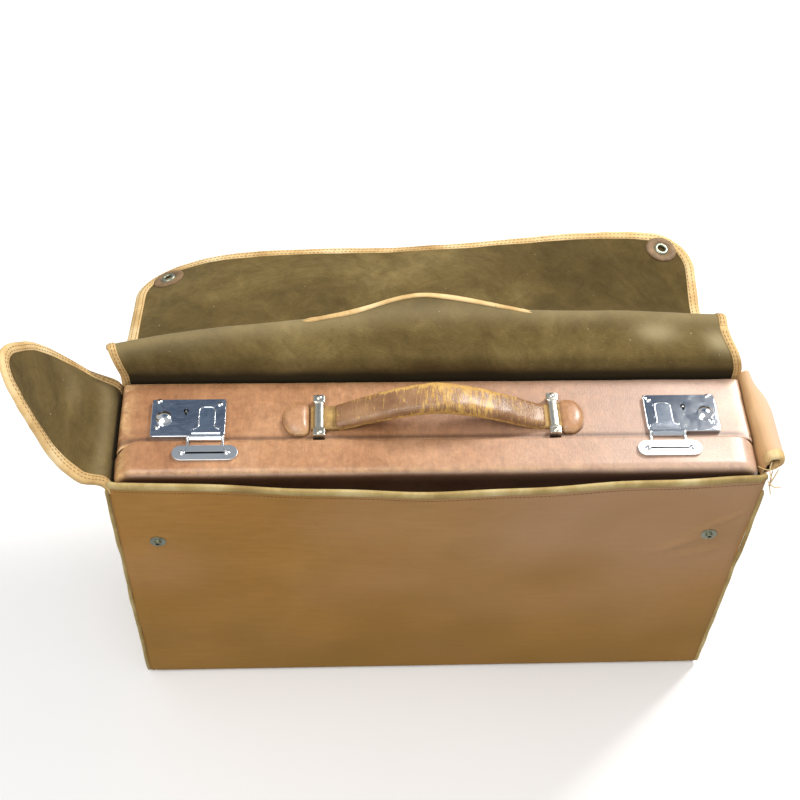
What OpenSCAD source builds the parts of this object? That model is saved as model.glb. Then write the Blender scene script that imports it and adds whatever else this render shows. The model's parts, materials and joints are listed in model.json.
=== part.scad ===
// Instrument case with a thrown-back fitted cover.
// A rigid leather attache case stands on its hinge edge inside a canvas cover.
// Origin: centre of the cover's bottom face. +Z is up and -Y is the front.

/* [Case] */
// Length of the case body
case_l = 458; // [420:1:500]
// Depth of the case body, back to parting line
body_d = 56; // [45:1:80]
// Depth of the case lid, parting line to front
lid_d = 30; // [24:1:40]
// Height of the case's top face above the floor
top_z = 280; // [250:1:320]
// Amount by which the lid stands proud of the body all round
lid_proud = 3.5; // [1:0.5:5]
// Wall thickness of both shells, board and leather together
shell_t = 4; // [3:0.5:6]
// Corner radius of the body in the front view
body_r = 7; // [3:1:12]
// Corner radius of the lid in the front view
lid_r = 10; // [5:1:15]

/* [Cover] */
// Outside length of the cover
cover_l = 474; // [460:1:520]
// Outside depth of the cover
cover_d = 99; // [90:1:130]
// Thickness of the canvas
canvas_t = 1.7; // [1:0.1:2.5]
// Thickness of the soft lining
lining_t = 1.3; // [1:0.1:2]
// Width of the folded edge binding on each face
binding_w = 10; // [6:1:14]
// Thickness of the edge binding on each face
binding_t = 0.5; // [0.3:0.1:0.8]

/* [Cover lid] */
// Back hinge line to the crest where the handle slit is
rear_panel_l = 45; // [40:1:60]
// Crest to the fold of the drop flap
front_panel_l = 58; // [50:1:70]
// Length of the drop flap
flap_l = 103; // [80:1:110]
// Corner radius of the drop flap
flap_r = 34; // [20:1:45]
// Lean of the thrown-back rear panel above horizontal
rear_lean = 35; // [20:1:50]
// Angle between the rear and front lid panels as they stand
crest_fold = 90; // [60:1:100]
// Angle between the front lid panel and the drop flap as they stand
flap_fold = 41; // [20:1:60]

/* [Tongues] */
// Length of the end tongue
tongue_l = 103; // [80:1:112]
// Angle of the folded-out left tongue above horizontal
tongue_lean = 52; // [20:1:80]
// Outside radius of the rolled right tongue
roll_r = 8.2; // [6:0.1:9]

/* [Locks] */
// Length of a lock plate
lock_l = 53; // [40:1:60]
// Depth of a lock plate
lock_d = 33; // [28:1:36]
// Height of a lock plate
lock_h = 3.2; // [2.8:0.1:4]
// Centre of a lock plate from the middle of the case
lock_x = 181; // [160:1:190]
// Travel of the sliding knob
knob_travel = 3; // [2:0.5:4]

/* [Handle] */
// Distance of each strap keeper from the middle
keeper_x = 86; // [70:1:100]
// Height of the grip's centre line above the case top
grip_z = 25; // [20:1:30]
// Bend radius of the grip's centre line
grip_bend = 108; // [100:1:130]
// Width of the grip
grip_w = 21; // [16:1:24]
// Thickness of the grip
grip_t = 11; // [8:0.5:12]
// Centre line of the handle, back from the middle of the cover
handle_y = 6.5; // [0:0.5:12]

/* [Snaps] */
// Distance of each snap from the middle
snap_x = 207; // [190:1:215]
// Drop of each snap below the case top
snap_drop = 72.6; // [60:0.1:80]
// Radius of the snap post
post_r = 2.6; // [2:0.1:3]

/* [Hidden] */
$fn = 48;
wall_t = canvas_t + lining_t;
cx = cover_l / 2;
cy = cover_d / 2;
in_x = cx - wall_t;
in_y = cy - wall_t;
part_y = cy - wall_t - 3.3 - body_d; // parting line
body_y1 = part_y + body_d;
lid_gap = 0.3;
lid_y0 = part_y - lid_d;
body_z0 = 2 * lid_proud + 0.5;
lid_z0 = 4;
lid_z1 = top_z + lid_proud;
lid_hx = case_l / 2 + 2;
lining_case_t = 1;
mouth_z = top_z - 1.4; // top edge of the front panel
fold_z = top_z + 14.2; // back fold line of the lid
fold_y = cy - wall_t / 2;
tongue_z = top_z + 9.9; // fold line of the left tongue
tongue_x = cx - wall_t / 2;
fold_set = 3; // panels stop this far short of a fold line
flap_set = 2.3;
lid_panel_x = cx - 3; // the lid passes inside the folded-out tongue
seam_ridge = 3;
slit_x0 = -104;
slit_x1 = 84;
slit_rear = 26; // rear lip of the slit from the back fold
slit_front = 13; // front lip of the slit from the crest
right_top = top_z - roll_r - 0.5; // top edge of the right panel
roll_x = cx + 3.8;
roll_y0 = -36;
roll_y1 = 40;
snap_z = top_z - snap_drop;
hasp_x = 167.5;
hasp_y = part_y + 0.6; // hasp pin axis
hasp_z = top_z + 4.8;
hasp_r = 2.4;
hasp_pin_r = 1.1;
base_y = -25.2;
lock_y = 7.8;
knob_x = 198.7;
knob_y = 7;
bolt_w = 5.6;
bolt_z = top_z + 0.9;
bolt_t = 1.2;
channel_l = 7.8; // bolt channel past the knob's centre
keyhole_x = 183;
keyhole_y = 14;
rivet_r = 1.1;
rivet_fit = 0.05;
strap_t = 3.4;
strap_w = 23;
strap_z = top_z + 2.2; // centre of the strap where it lies flat
pivot_x = 30; // grip to shoulder
end_x = 68; // shoulder to end strap
tab_in = 91;
tab_out = 113;
arc_z = top_z + grip_z - grip_bend;
pivot_z = arc_z + sqrt(grip_bend * grip_bend - pivot_x * pivot_x);
keeper_w = 8.5;
keeper_y0 = -10;
keeper_y1 = 23;
keeper_h = 7;
keeper_leg = 2.4;
hinge_x = 150;
hinge_l = 38;
hinge_y = part_y + 1.4;
hinge_z = 5.8;
hinge_r = 1.6;

cloth_tan = [0.76, 0.58, 0.34];
cloth_olive = [0.36, 0.30, 0.18];
cloth_edge = [0.87, 0.70, 0.45];
leather_brown = [0.55, 0.30, 0.20];
metal_bright = [0.80, 0.81, 0.83];

// ---------- helpers ----------

// A box given by its low and high corners.
module span(lo, hi) {
    translate(lo)
        cube([hi[0] - lo[0], hi[1] - lo[1], hi[2] - lo[2]]);
}

// A rectangle with four round corners, given by its low and high corners.
module round_rect(lo, hi, r) {
    translate([lo[0] + r, lo[1]])
        square([hi[0] - lo[0] - 2 * r, hi[1] - lo[1]]);
    translate([lo[0], lo[1] + r])
        square([hi[0] - lo[0], hi[1] - lo[1] - 2 * r]);
    for (x = [lo[0] + r, hi[0] - r])
        for (y = [lo[1] + r, hi[1] - r])
            translate([x, y])
                circle(r);
}

// A front-view outline (x, z) extruded from y0 to y1.
module front_slab(y0, y1) {
    translate([0, y1, 0])
        rotate([90, 0, 0])
            linear_extrude(y1 - y0)
                children();
}

// Both ends of the case: the second copy is mirrored to the left.
module both_ends() {
    children();
    mirror([1, 0, 0])
        children();
}

// A round-headed rivet standing on z = 0 with its shank below.
module rivet(head_r, shank_l) {
    translate([0, 0, -shank_l])
        cylinder(r = rivet_r, h = shank_l + 0.2);
    intersection() {
        translate([0, 0, 1 - head_r * 1.5])
            sphere(head_r * 1.5);
        cylinder(r = head_r, h = 1);
    }
}

// Frames of the lid panels: y runs away from the fold, z is the lining side.
module rear_frame() {
    translate([0, fold_y, fold_z])
        rotate([rear_lean, 0, 0])
            children();
}

module front_frame() {
    rear_frame()
        translate([0, rear_panel_l, 0])
            rotate([-crest_fold, 0, 0])
                children();
}

module flap_frame() {
    front_frame()
        translate([0, front_panel_l, 0])
            rotate([flap_fold, 0, 0])
                children();
}

// Frame of the left tongue: x runs towards the tip, z is the lining side.
module tongue_frame() {
    translate([-tongue_x, 0, tongue_z])
        rotate([0, tongue_lean - 180, 0])
            mirror([0, 0, 1])
                children();
}

// The two layers of a panel, extruded from an outline in the panel's frame.
module canvas_layer() {
    translate([0, 0, -wall_t / 2])
        linear_extrude(canvas_t)
            children();
}

module lining_layer() {
    translate([0, 0, canvas_t - wall_t / 2])
        linear_extrude(lining_t)
            children();
}

// Binding strips on both faces of a panel, from an outline.
module binding_layer() {
    for (z = [-wall_t / 2 - binding_t, wall_t / 2])
        translate([0, 0, z])
            linear_extrude(binding_t)
                children();
}

// ---------- cover walls ----------

module cover_bottom_canvas() {
    color(cloth_tan)
        span([-cx, -cy, 0], [cx, cy, canvas_t]);
}

module cover_bottom_lining() {
    color(cloth_olive)
        span([-in_x, -in_y, canvas_t], [in_x, in_y, wall_t]);
}

module cover_front_canvas() {
    color(cloth_tan)
        difference() {
            span([-cx, -cy, canvas_t], [cx, -cy + canvas_t, mouth_z]);
            snap_holes();
        }
}

module snap_holes() {
    for (x = [-snap_x, snap_x])
        translate([x, 0, snap_z])
            rotate([90, 0, 0])
                cylinder(r = post_r + rivet_fit, h = cy + 10);
}

module cover_front_lining() {
    color(cloth_olive)
        span([-in_x, -cy + canvas_t, canvas_t], [in_x, -in_y, mouth_z]);
}

module cover_back_canvas() {
    color(cloth_tan)
        span([-cx, cy - canvas_t, canvas_t], [cx, cy, fold_z - fold_set]);
}

module cover_back_lining() {
    color(cloth_olive)
        span([-in_x, in_y, canvas_t], [in_x, cy - canvas_t, fold_z - fold_set]);
}

module cover_left_canvas() {
    color(cloth_tan)
        span([-cx, -cy + canvas_t, canvas_t],
            [-cx + canvas_t, cy - canvas_t, tongue_z - fold_set]);
}

module cover_left_lining() {
    color(cloth_olive)
        span([-cx + canvas_t, -in_y, wall_t], [-in_x, in_y, tongue_z - fold_set]);
}

module cover_right_canvas() {
    color(cloth_tan)
        span([cx - canvas_t, -cy + canvas_t, canvas_t], [cx, cy - canvas_t, right_top]);
}

module cover_right_lining() {
    color(cloth_olive)
        span([in_x, -in_y, wall_t], [cx - canvas_t, in_y, right_top]);
}

module mouth_binding() {
    color(cloth_edge)
        difference() {
            union() {
                span([-cx, -cy - binding_t, mouth_z - 6], [cx, -cy, mouth_z + binding_t]);
                span([-in_x, -cy, mouth_z - 6], [in_x, -in_y + binding_t, mouth_z + binding_t]);
            }
            span([-cx - 1, -cy, 0], [cx + 1, -in_y, mouth_z]);
        }
}

// Bound seam allowances that stand out at the four upright corners.
module seam_bindings() {
    color(cloth_edge)
        for (y = [-cy, cy - 2]) {
            span([-cx - seam_ridge, y, 0], [-cx, y + 2, mouth_z - 6]);
            span([cx, y, 0], [cx + seam_ridge, y + 2, right_top]);
        }
}

// Hollow posts on round bases, riveted through the front panel.
module snap_studs() {
    color(metal_bright)
        for (x = [-snap_x, snap_x])
            translate([x, -cy, snap_z])
                rotate([90, 0, 0])
                    difference() {
                        union() {
                            cylinder(r = 6, h = 0.8);
                            translate([0, 0, -canvas_t])
                                cylinder(r = post_r, h = canvas_t + 3);
                        }
                        cylinder(r = 1.5, h = 4);
                    }
}

// ---------- right tongue, rolled over and tucked in ----------

module roll_ring(outer, inner) {
    front_slab(roll_y0, roll_y1)
        translate([roll_x, top_z])
            difference() {
                circle(outer);
                circle(inner);
            }
}

// The roll and the end that is tucked in beside the case.
module right_tongue_canvas() {
    color(cloth_tan) {
        roll_ring(roll_r, roll_r - canvas_t);
        span([in_x - 2.5, roll_y0 + 4, top_z - 55], [in_x - 0.3, roll_y1 - 4, top_z]);
    }
}

module right_tongue_lining() {
    color(cloth_olive)
        roll_ring(roll_r - canvas_t, roll_r - wall_t);
}

// ---------- left tongue ----------

// Leaf outline: straight sides that close in on a round tip.
module tongue_outline(grow) {
    tip_r = 24 + grow;
    hull() {
        translate([fold_set, -in_y - grow])
            square([8, 2 * (in_y + grow)]);
        translate([tongue_l * 0.55, 0])
            circle(36 + grow, $fn = 32);
        translate([tongue_l - 24, 6])
            circle(tip_r, $fn = 32);
    }
}

module left_tongue_canvas() {
    color(cloth_tan)
        tongue_frame()
            canvas_layer()
                tongue_outline(0);
}

module left_tongue_lining() {
    color(cloth_olive)
        tongue_frame()
            lining_layer()
                tongue_outline(0);
}

module left_tongue_binding() {
    color(cloth_edge)
        tongue_frame()
            binding_layer()
                difference() {
                    tongue_outline(0);
                    tongue_outline(-binding_w);
                    translate([0, -in_y + binding_w])
                        square([2 * binding_w, 2 * (in_y - binding_w)]);
                }
}

// ---------- lid of the cover ----------

module rear_outline(inset) {
    difference() {
        translate([-lid_panel_x + inset, fold_set])
            square([2 * (lid_panel_x - inset), rear_panel_l - 2 * fold_set]);
        round_rect([slit_x0 - inset, slit_rear - inset], [slit_x1 + inset, 2 * rear_panel_l], 6);
    }
}

module front_outline(inset) {
    difference() {
        translate([-lid_panel_x + inset, fold_set])
            square([2 * (lid_panel_x - inset), front_panel_l - fold_set - flap_set]);
        round_rect([slit_x0 - inset, -rear_panel_l], [slit_x1 + inset, slit_front + inset], 6);
    }
}

module flap_outline(inset) {
    r = flap_r - inset;
    x = cx - 1 - inset;
    difference() {
        round_rect([-x, -flap_l], [x, flap_l - inset], r);
        translate([-cx, -2 * flap_l])
            square([2 * cx, 2 * flap_l + flap_set]);
    }
}

module lid_rear_canvas() {
    color(cloth_tan)
        rear_frame()
            canvas_layer()
                rear_outline(0);
}

module lid_rear_lining() {
    color(cloth_olive)
        rear_frame()
            lining_layer()
                rear_outline(0);
}

module lid_rear_binding() {
    color(cloth_edge)
        rear_frame()
            binding_layer()
                difference() {
                    rear_outline(0);
                    rear_outline(binding_w / 2);
                }
}

module lid_front_canvas() {
    color(cloth_tan)
        front_frame()
            canvas_layer()
                front_outline(0);
}

module lid_front_lining() {
    color(cloth_olive)
        front_frame()
            lining_layer()
                front_outline(0);
}

module lid_front_binding() {
    color(cloth_edge)
        front_frame()
            binding_layer()
                difference() {
                    front_outline(0);
                    front_outline(binding_w / 2);
                }
}

// Centres of the two flap snaps, measured from the flap's fold.
snap_reach = fold_z - snap_z;

module flap_snap_holes(r) {
    for (x = [-snap_x, snap_x])
        translate([x, snap_reach])
            circle(r);
}

module flap_canvas() {
    color(cloth_tan)
        flap_frame()
            canvas_layer()
                difference() {
                    flap_outline(0);
                    flap_snap_holes(3.4);
                }
}

module flap_lining() {
    color(cloth_olive)
        flap_frame()
            lining_layer()
                difference() {
                    flap_outline(0);
                    flap_snap_holes(3.4);
                }
}

module flap_binding() {
    color(cloth_edge)
        flap_frame()
            binding_layer()
                difference() {
                    flap_outline(0);
                    flap_outline(binding_w);
                    flap_snap_holes(12.2);
                }
}

// Round leather washers round the sockets, on the lining side.
module snap_patches() {
    color(leather_brown)
        flap_frame()
            translate([0, 0, wall_t / 2])
                linear_extrude(1)
                    difference() {
                        flap_snap_holes(12);
                        flap_snap_holes(5.6);
                    }
}

module snap_sockets() {
    color(metal_bright)
        flap_frame()
            for (x = [-snap_x, snap_x])
                translate([x, snap_reach, -wall_t / 2])
                    difference() {
                        union() {
                            cylinder(r = 3.35, h = wall_t + 1.2);
                            translate([0, 0, wall_t])
                                cylinder(r = 5.5, h = 1.2);
                        }
                        translate([0, 0, -1])
                            cylinder(r = post_r + 0.3, h = wall_t + 4);
                    }
}

// Domed caps that close the sockets on the canvas side.
module snap_caps() {
    color(metal_bright)
        flap_frame()
            for (x = [-snap_x, snap_x])
                translate([x, snap_reach, -wall_t / 2 - 1.4])
                    difference() {
                        cylinder(r = 6.5, h = 1.4);
                        translate([0, 0, 0.7])
                            cylinder(r = 3.4, h = 2);
                    }
}

// ---------- case shells ----------

// A tray between two depths with a round-cornered outline, open at one side.
module tray(hx, z0, z1, r, y0, y1, t, open_front) {
    difference() {
        front_slab(y0, y1)
            round_rect([-hx, z0], [hx, z1], r);
        front_slab(open_front ? y0 - 1 : y0 + t, open_front ? y1 - t : y1 + 1)
            round_rect([-hx + t, z0 + t], [hx - t, z1 - t], r - t + 1);
    }
}

module top_holes(points, depth) {
    for (p = points)
        translate([p[0], p[1], p[2] - depth])
            cylinder(r = rivet_r + rivet_fit, h = depth + 1);
}

// Seats of the top fasteners: x, y and the height of the surface they stand on.
lock_points = [for (s = [-1, 1]) for (p = [[22, 15.3], [-22.5, 12], [22, -8.7]])
    [s * (lock_x + p[0]), lock_y + p[1], top_z + lock_h]];
keeper_points = [for (s = [-1, 1]) for (y = [keeper_y0 + 0.6, keeper_y1 - 0.6])
    [s * keeper_x, y, top_z + keeper_h]];
base_points = [for (s = [-1, 1]) for (dx = [-16, 16])
    [s * (hasp_x + dx), base_y, lid_z1 + 1.6]];

module case_body_shell() {
    color(leather_brown)
        difference() {
            tray(case_l / 2, body_z0, top_z, body_r, part_y, body_y1, shell_t, true);
            top_holes(lock_points, lock_h + shell_t + 1);
            top_holes(keeper_points, keeper_h + shell_t + 1);
        }
}

module case_lid_shell() {
    color(leather_brown)
        difference() {
            tray(lid_hx, lid_z0, lid_z1, lid_r, lid_y0, part_y - lid_gap, shell_t, false);
            top_holes(base_points, 1.6 + shell_t + 1);
            // Grooves that clear the hasps' barrels.
            both_ends()
                translate([hasp_x - 14, hasp_y, hasp_z])
                    rotate([0, 90, 0])
                        cylinder(r = hasp_r + 0.5, h = 28);
            // Seats of the bottom hinges.
            both_ends()
                span([hinge_x - hinge_l / 2 - 0.2, part_y - 13, 0],
                    [hinge_x + hinge_l / 2 + 0.2, part_y + 1, lid_z0 + 1.2]);
        }
}

module case_body_lining() {
    color([0.62, 0.52, 0.40])
        tray(case_l / 2 - shell_t, body_z0 + shell_t, top_z - shell_t, body_r - 3,
            part_y + 1, body_y1 - shell_t, lining_case_t, true);
}

module case_lid_lining() {
    color([0.62, 0.52, 0.40])
        tray(lid_hx - shell_t, lid_z0 + shell_t, lid_z1 - shell_t, lid_r - 3,
            lid_y0 + shell_t, part_y - 1, lining_case_t, false);
}

// ---------- bottom hinges ----------

// Knuckles of one leaf: the hinge has five, three on the body leaf.
module knuckles(first) {
    w = hinge_l / 5;
    for (i = [first : 2 : 4])
        translate([hinge_x - hinge_l / 2 + i * w + 0.1, hinge_y, hinge_z])
            rotate([0, 90, 0])
                cylinder(r = hinge_r, h = w - 0.2);
}

module hinge_bore() {
    translate([hinge_x - hinge_l, hinge_y, hinge_z])
        rotate([0, 90, 0])
            cylinder(r = 0.75, h = 2 * hinge_l);
}

module body_hinge_leaves() {
    color(metal_bright)
        both_ends()
            difference() {
                union() {
                    knuckles(0);
                    span([hinge_x - hinge_l / 2, hinge_y + hinge_r, body_z0 - 0.9],
                        [hinge_x + hinge_l / 2, hinge_y + 14, body_z0]);
                    for (i = [0 : 2 : 4])
                        span([hinge_x - hinge_l / 2 + i * hinge_l / 5 + 0.1, hinge_y, body_z0 - 0.9],
                            [hinge_x - hinge_l / 2 + (i + 1) * hinge_l / 5 - 0.1,
                                hinge_y + hinge_r + 0.5, body_z0 - 0.1]);
                }
                hinge_bore();
            }
}

module lid_hinge_leaves() {
    color(metal_bright)
        both_ends()
            difference() {
                union() {
                    knuckles(1);
                    span([hinge_x - hinge_l / 2, part_y - 12, lid_z0 + 0.2],
                        [hinge_x + hinge_l / 2, hinge_y - hinge_r - 0.1, lid_z0 + 1.1]);
                    for (i = [1 : 2 : 3])
                        span([hinge_x - hinge_l / 2 + i * hinge_l / 5 + 0.1,
                                hinge_y - hinge_r - 0.4, lid_z0 + 0.3],
                            [hinge_x - hinge_l / 2 + (i + 1) * hinge_l / 5 - 0.1,
                                hinge_y, lid_z0 + 1.1]);
                }
                hinge_bore();
            }
}

module case_hinge_pins() {
    color(metal_bright)
        both_ends()
            translate([hinge_x - hinge_l / 2, hinge_y, hinge_z])
                rotate([0, 90, 0])
                    cylinder(r = 0.7, h = hinge_l);
}

// ---------- locks (right-hand one; the left is its mirror) ----------

module hasp_outline(grow) {
    round_rect([hasp_x - 6.5 - grow, hasp_y + 8, 0], [hasp_x + 6.5 + grow, 17.5 + grow], 4);
    round_rect([hasp_x - 10.5 - grow, hasp_y - 1], [hasp_x + 10.5 + grow, -2.6 + grow], 1.5);
}

module lock_plate() {
    lo = [lock_x - lock_l / 2, lock_y - lock_d / 2, top_z];
    difference() {
        span(lo, lo + [lock_l, lock_d, lock_h]);
        translate([0, 0, top_z + 2])
            linear_extrude(lock_h)
                hasp_outline(0.5);
        // Channel of the bolt, open downwards.
        span([hasp_x + 3, knob_y - bolt_w / 2 - 0.2, top_z - 1],
            [knob_x + channel_l, knob_y + bolt_w / 2 + 0.2, bolt_z + bolt_t + 0.3]);
        // Slot of the knob's stem.
        span([knob_x - 1.9, knob_y - 1.8, top_z],
            [knob_x + 1.9 + knob_travel, knob_y + 1.8, top_z + 5]);
        // Keyhole.
        translate([keyhole_x, keyhole_y, top_z - 1])
            cylinder(r = 1.9, h = 6);
        span([keyhole_x - 0.8, keyhole_y - 4, top_z - 1], [keyhole_x + 0.8, keyhole_y, top_z + 5]);
        // Slot of the hasp's staple.
        span([hasp_x - 3.2, 8.2, top_z - 1], [hasp_x + 2.6, 12.2, top_z + 5]);
        top_holes(lock_points, 6);
    }
}

module lock_knob() {
    dome_r = 9;
    translate([knob_x, knob_y, top_z + lock_h + 0.1]) {
        intersection() {
            translate([0, 0, 3.6 - dome_r])
                sphere(dome_r);
            cylinder(r = 5.6, h = 4);
        }
        translate([0, 0, -lock_h + 2])
            cylinder(r = 1.6, h = 2);
    }
}

module lock_bolt() {
    span([hasp_x + 4.6, knob_y - bolt_w / 2, bolt_z],
        [knob_x + 3.6, knob_y + bolt_w / 2, bolt_z + bolt_t]);
}

module hasp() {
    difference() {
        union() {
            // Tongue and shoulder.
            translate([0, 0, top_z + 2.4])
                linear_extrude(1.5)
                    difference() {
                        hasp_outline(0);
                        translate([hasp_x - 20, hasp_y - 20])
                            square([40, 21]);
                    }
            // Barrel and the two ribs beside it.
            translate([hasp_x - 11.5, hasp_y, hasp_z])
                rotate([0, 90, 0])
                    cylinder(r = hasp_r, h = 23);
            for (y = [2.6, 5])
                translate([hasp_x - 10.3, hasp_y + y, top_z + 4.2 - y * 0.1])
                    rotate([0, 90, 0])
                        cylinder(r = 1.3, h = 20.6);
            // Staple that drops into the lock.
            span([hasp_x - 2.8, 8.8, top_z + 0.8], [hasp_x + 2.2, 11.6, top_z + 2.6]);
        }
        translate([hasp_x - 30, hasp_y, hasp_z])
            rotate([0, 90, 0])
                cylinder(r = hasp_pin_r + rivet_fit, h = 60);
    }
}

module left_lock_plate() {
    color(metal_bright)
        mirror([1, 0, 0])
            lock_plate();
}

module right_lock_plate() {
    color(metal_bright)
        lock_plate();
}

module lock_rivets() {
    color(metal_bright)
        for (p = lock_points)
            translate(p)
                rivet(2, lock_h + shell_t);
}

module lock_key_posts() {
    color(metal_bright)
        both_ends()
            translate([keyhole_x, keyhole_y, top_z])
                cylinder(r = 0.7, h = 2.9);
}

// Bent leaf springs lying beside the bolts, behind the plates.
module lock_springs() {
    color(metal_bright)
        both_ends()
            translate([knob_x + channel_l - 0.5, knob_y, top_z + 0.2])
                linear_extrude(1.6) {
                    translate([0, -bolt_w / 2 + 0.2])
                        square([0.4, bolt_w - 0.4]);
                    for (y = [-bolt_w / 2 + 0.2, bolt_w / 2 - 0.6])
                        translate([-0.4, y])
                            square([0.4, 0.4]);
                }
}

module left_lock_knob() {
    color(metal_bright)
        mirror([1, 0, 0])
            lock_knob();
}

module right_lock_knob() {
    color(metal_bright)
        lock_knob();
}

module left_lock_bolt() {
    color(metal_bright)
        mirror([1, 0, 0])
            lock_bolt();
}

module right_lock_bolt() {
    color(metal_bright)
        lock_bolt();
}

module left_hasp() {
    color(metal_bright)
        mirror([1, 0, 0])
            hasp();
}

module right_hasp() {
    color(metal_bright)
        hasp();
}

// Stadium plates on the case lid with an ear at each end of the barrel.
module hasp_bases() {
    ear = 1.6;
    color(metal_bright)
        both_ends()
            difference() {
                union() {
                    translate([0, 0, lid_z1])
                        linear_extrude(1.6)
                            round_rect([hasp_x - 23.5, base_y - 6.5], [hasp_x + 23.5, base_y + 6.5], 6.4);
                    for (x = [hasp_x - 11.8 - ear, hasp_x + 11.8]) {
                        translate([x, hasp_y, hasp_z])
                            rotate([0, 90, 0])
                                cylinder(r = hasp_r, h = ear);
                        span([x, base_y, lid_z1 + 0.4], [x + ear, hasp_y, lid_z1 + 1.6]);
                    }
                }
                translate([hasp_x - 30, hasp_y, hasp_z])
                    rotate([0, 90, 0])
                        cylinder(r = hasp_pin_r + 0.01, h = 60);
                top_holes(base_points, 3);
            }
}

module hasp_screws() {
    color(metal_bright)
        for (p = base_points)
            translate(p)
                difference() {
                    rivet(2.2, 1.6 + shell_t);
                    span([-3, -0.3, 0.6], [3, 0.3, 2]);
                }
}

module hasp_pins() {
    color(metal_bright)
        both_ends()
            translate([hasp_x - 13.4, hasp_y, hasp_z])
                rotate([0, 90, 0])
                    cylinder(r = hasp_pin_r, h = 26.8);
}

// ---------- handle ----------

module handle_keepers() {
    color(metal_bright)
        both_ends()
            difference() {
                span([keeper_x - keeper_w / 2, keeper_y0 - 1.8, top_z],
                    [keeper_x + keeper_w / 2, keeper_y1 + 1.8, top_z + keeper_h]);
                span([keeper_x - keeper_w, keeper_y0 + keeper_leg, top_z - 1],
                    [keeper_x + keeper_w, keeper_y1 - keeper_leg, top_z + keeper_h - 2.4]);
                top_holes(keeper_points, keeper_h + 1);
            }
}

module keeper_rivets() {
    color(metal_bright)
        for (p = keeper_points)
            translate(p)
                rivet(2.2, keeper_h + shell_t);
}

// Stadium section of the grip, width along y after turning.
module grip_section() {
    r = grip_t / 2;
    half = grip_w / 2 - r;
    translate([grip_bend, 0]) {
        square([2 * r, 2 * half], center = true);
        for (s = [-1, 1])
            translate([0, s * half])
                circle(r);
    }
}

module handle_grip() {
    sweep = asin((pivot_x - 1.4) / grip_bend);
    color(leather_brown)
        translate([0, handle_y, arc_z])
            rotate([90, 0, 0])
                rotate([0, 0, 90 - sweep])
                    rotate_extrude(angle = 2 * sweep, $fn = 96)
                        grip_section();
}

// Sloping piece of the handle between the grip and the strap's flat end.
module shoulder() {
    drop = pivot_z - strap_z;
    run = end_x - pivot_x;
    fall = atan2(drop, run);
    reach = sqrt(drop * drop + run * run);
    translate([pivot_x, handle_y + grip_w / 2, pivot_z])
        rotate([0, fall, 0])
            rotate([90, 0, 0])
                linear_extrude(grip_w)
                    polygon([
                        [1.6, -grip_t / 2 + 1], [1.6, grip_t / 2 - 1],
                        [reach - 3, strap_t / 2], [reach - 3, -strap_t / 2]
                    ]);
}

// Flat strap end with a rounded thick tab that stops at the keeper.
module strap_end() {
    union() {
        span([end_x + 2.4, handle_y - strap_w / 2, strap_z - strap_t / 2],
            [tab_in + 2, handle_y + strap_w / 2, strap_z + strap_t / 2]);
        translate([0, 0, strap_z - strap_t / 2])
            linear_extrude(5.2)
                intersection() {
                    round_rect([tab_in - 14, handle_y - 15.5], [tab_out, handle_y + 15.5], 12);
                    translate([tab_in, -50])
                        square([50, 100]);
                }
    }
}

module left_shoulder() {
    color(leather_brown)
        mirror([1, 0, 0])
            shoulder();
}

module right_shoulder() {
    color(leather_brown)
        shoulder();
}

module left_strap_end() {
    color(leather_brown)
        mirror([1, 0, 0])
            strap_end();
}

module right_strap_end() {
    color(leather_brown)
        strap_end();
}

cover_bottom_canvas();
cover_bottom_lining();
cover_front_canvas();
cover_front_lining();
cover_back_canvas();
cover_back_lining();
cover_left_canvas();
cover_left_lining();
cover_right_canvas();
cover_right_lining();
mouth_binding();
seam_bindings();
snap_studs();
right_tongue_canvas();
right_tongue_lining();
left_tongue_canvas();
left_tongue_lining();
left_tongue_binding();
lid_rear_canvas();
lid_rear_lining();
lid_rear_binding();
lid_front_canvas();
lid_front_lining();
lid_front_binding();
flap_canvas();
flap_lining();
flap_binding();
snap_patches();
snap_sockets();
snap_caps();
case_body_shell();
case_lid_shell();
case_body_lining();
case_lid_lining();
body_hinge_leaves();
lid_hinge_leaves();
case_hinge_pins();
left_lock_plate();
right_lock_plate();
lock_rivets();
lock_key_posts();
lock_springs();
left_lock_knob();
right_lock_knob();
left_lock_bolt();
right_lock_bolt();
hasp_bases();
hasp_screws();
hasp_pins();
left_hasp();
right_hasp();
handle_keepers();
keeper_rivets();
handle_grip();
left_shoulder();
right_shoulder();
left_strap_end();
right_strap_end();
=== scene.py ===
"""Looks of an attache case standing in its thrown-back fitted cover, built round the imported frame.

Lengths in this file are millimetres in the frame's own axes; make() turns them into metres.
"""
import json
import math
import bmesh
import bpy
import numpy as np
from mathutils import Matrix, Vector


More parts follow.
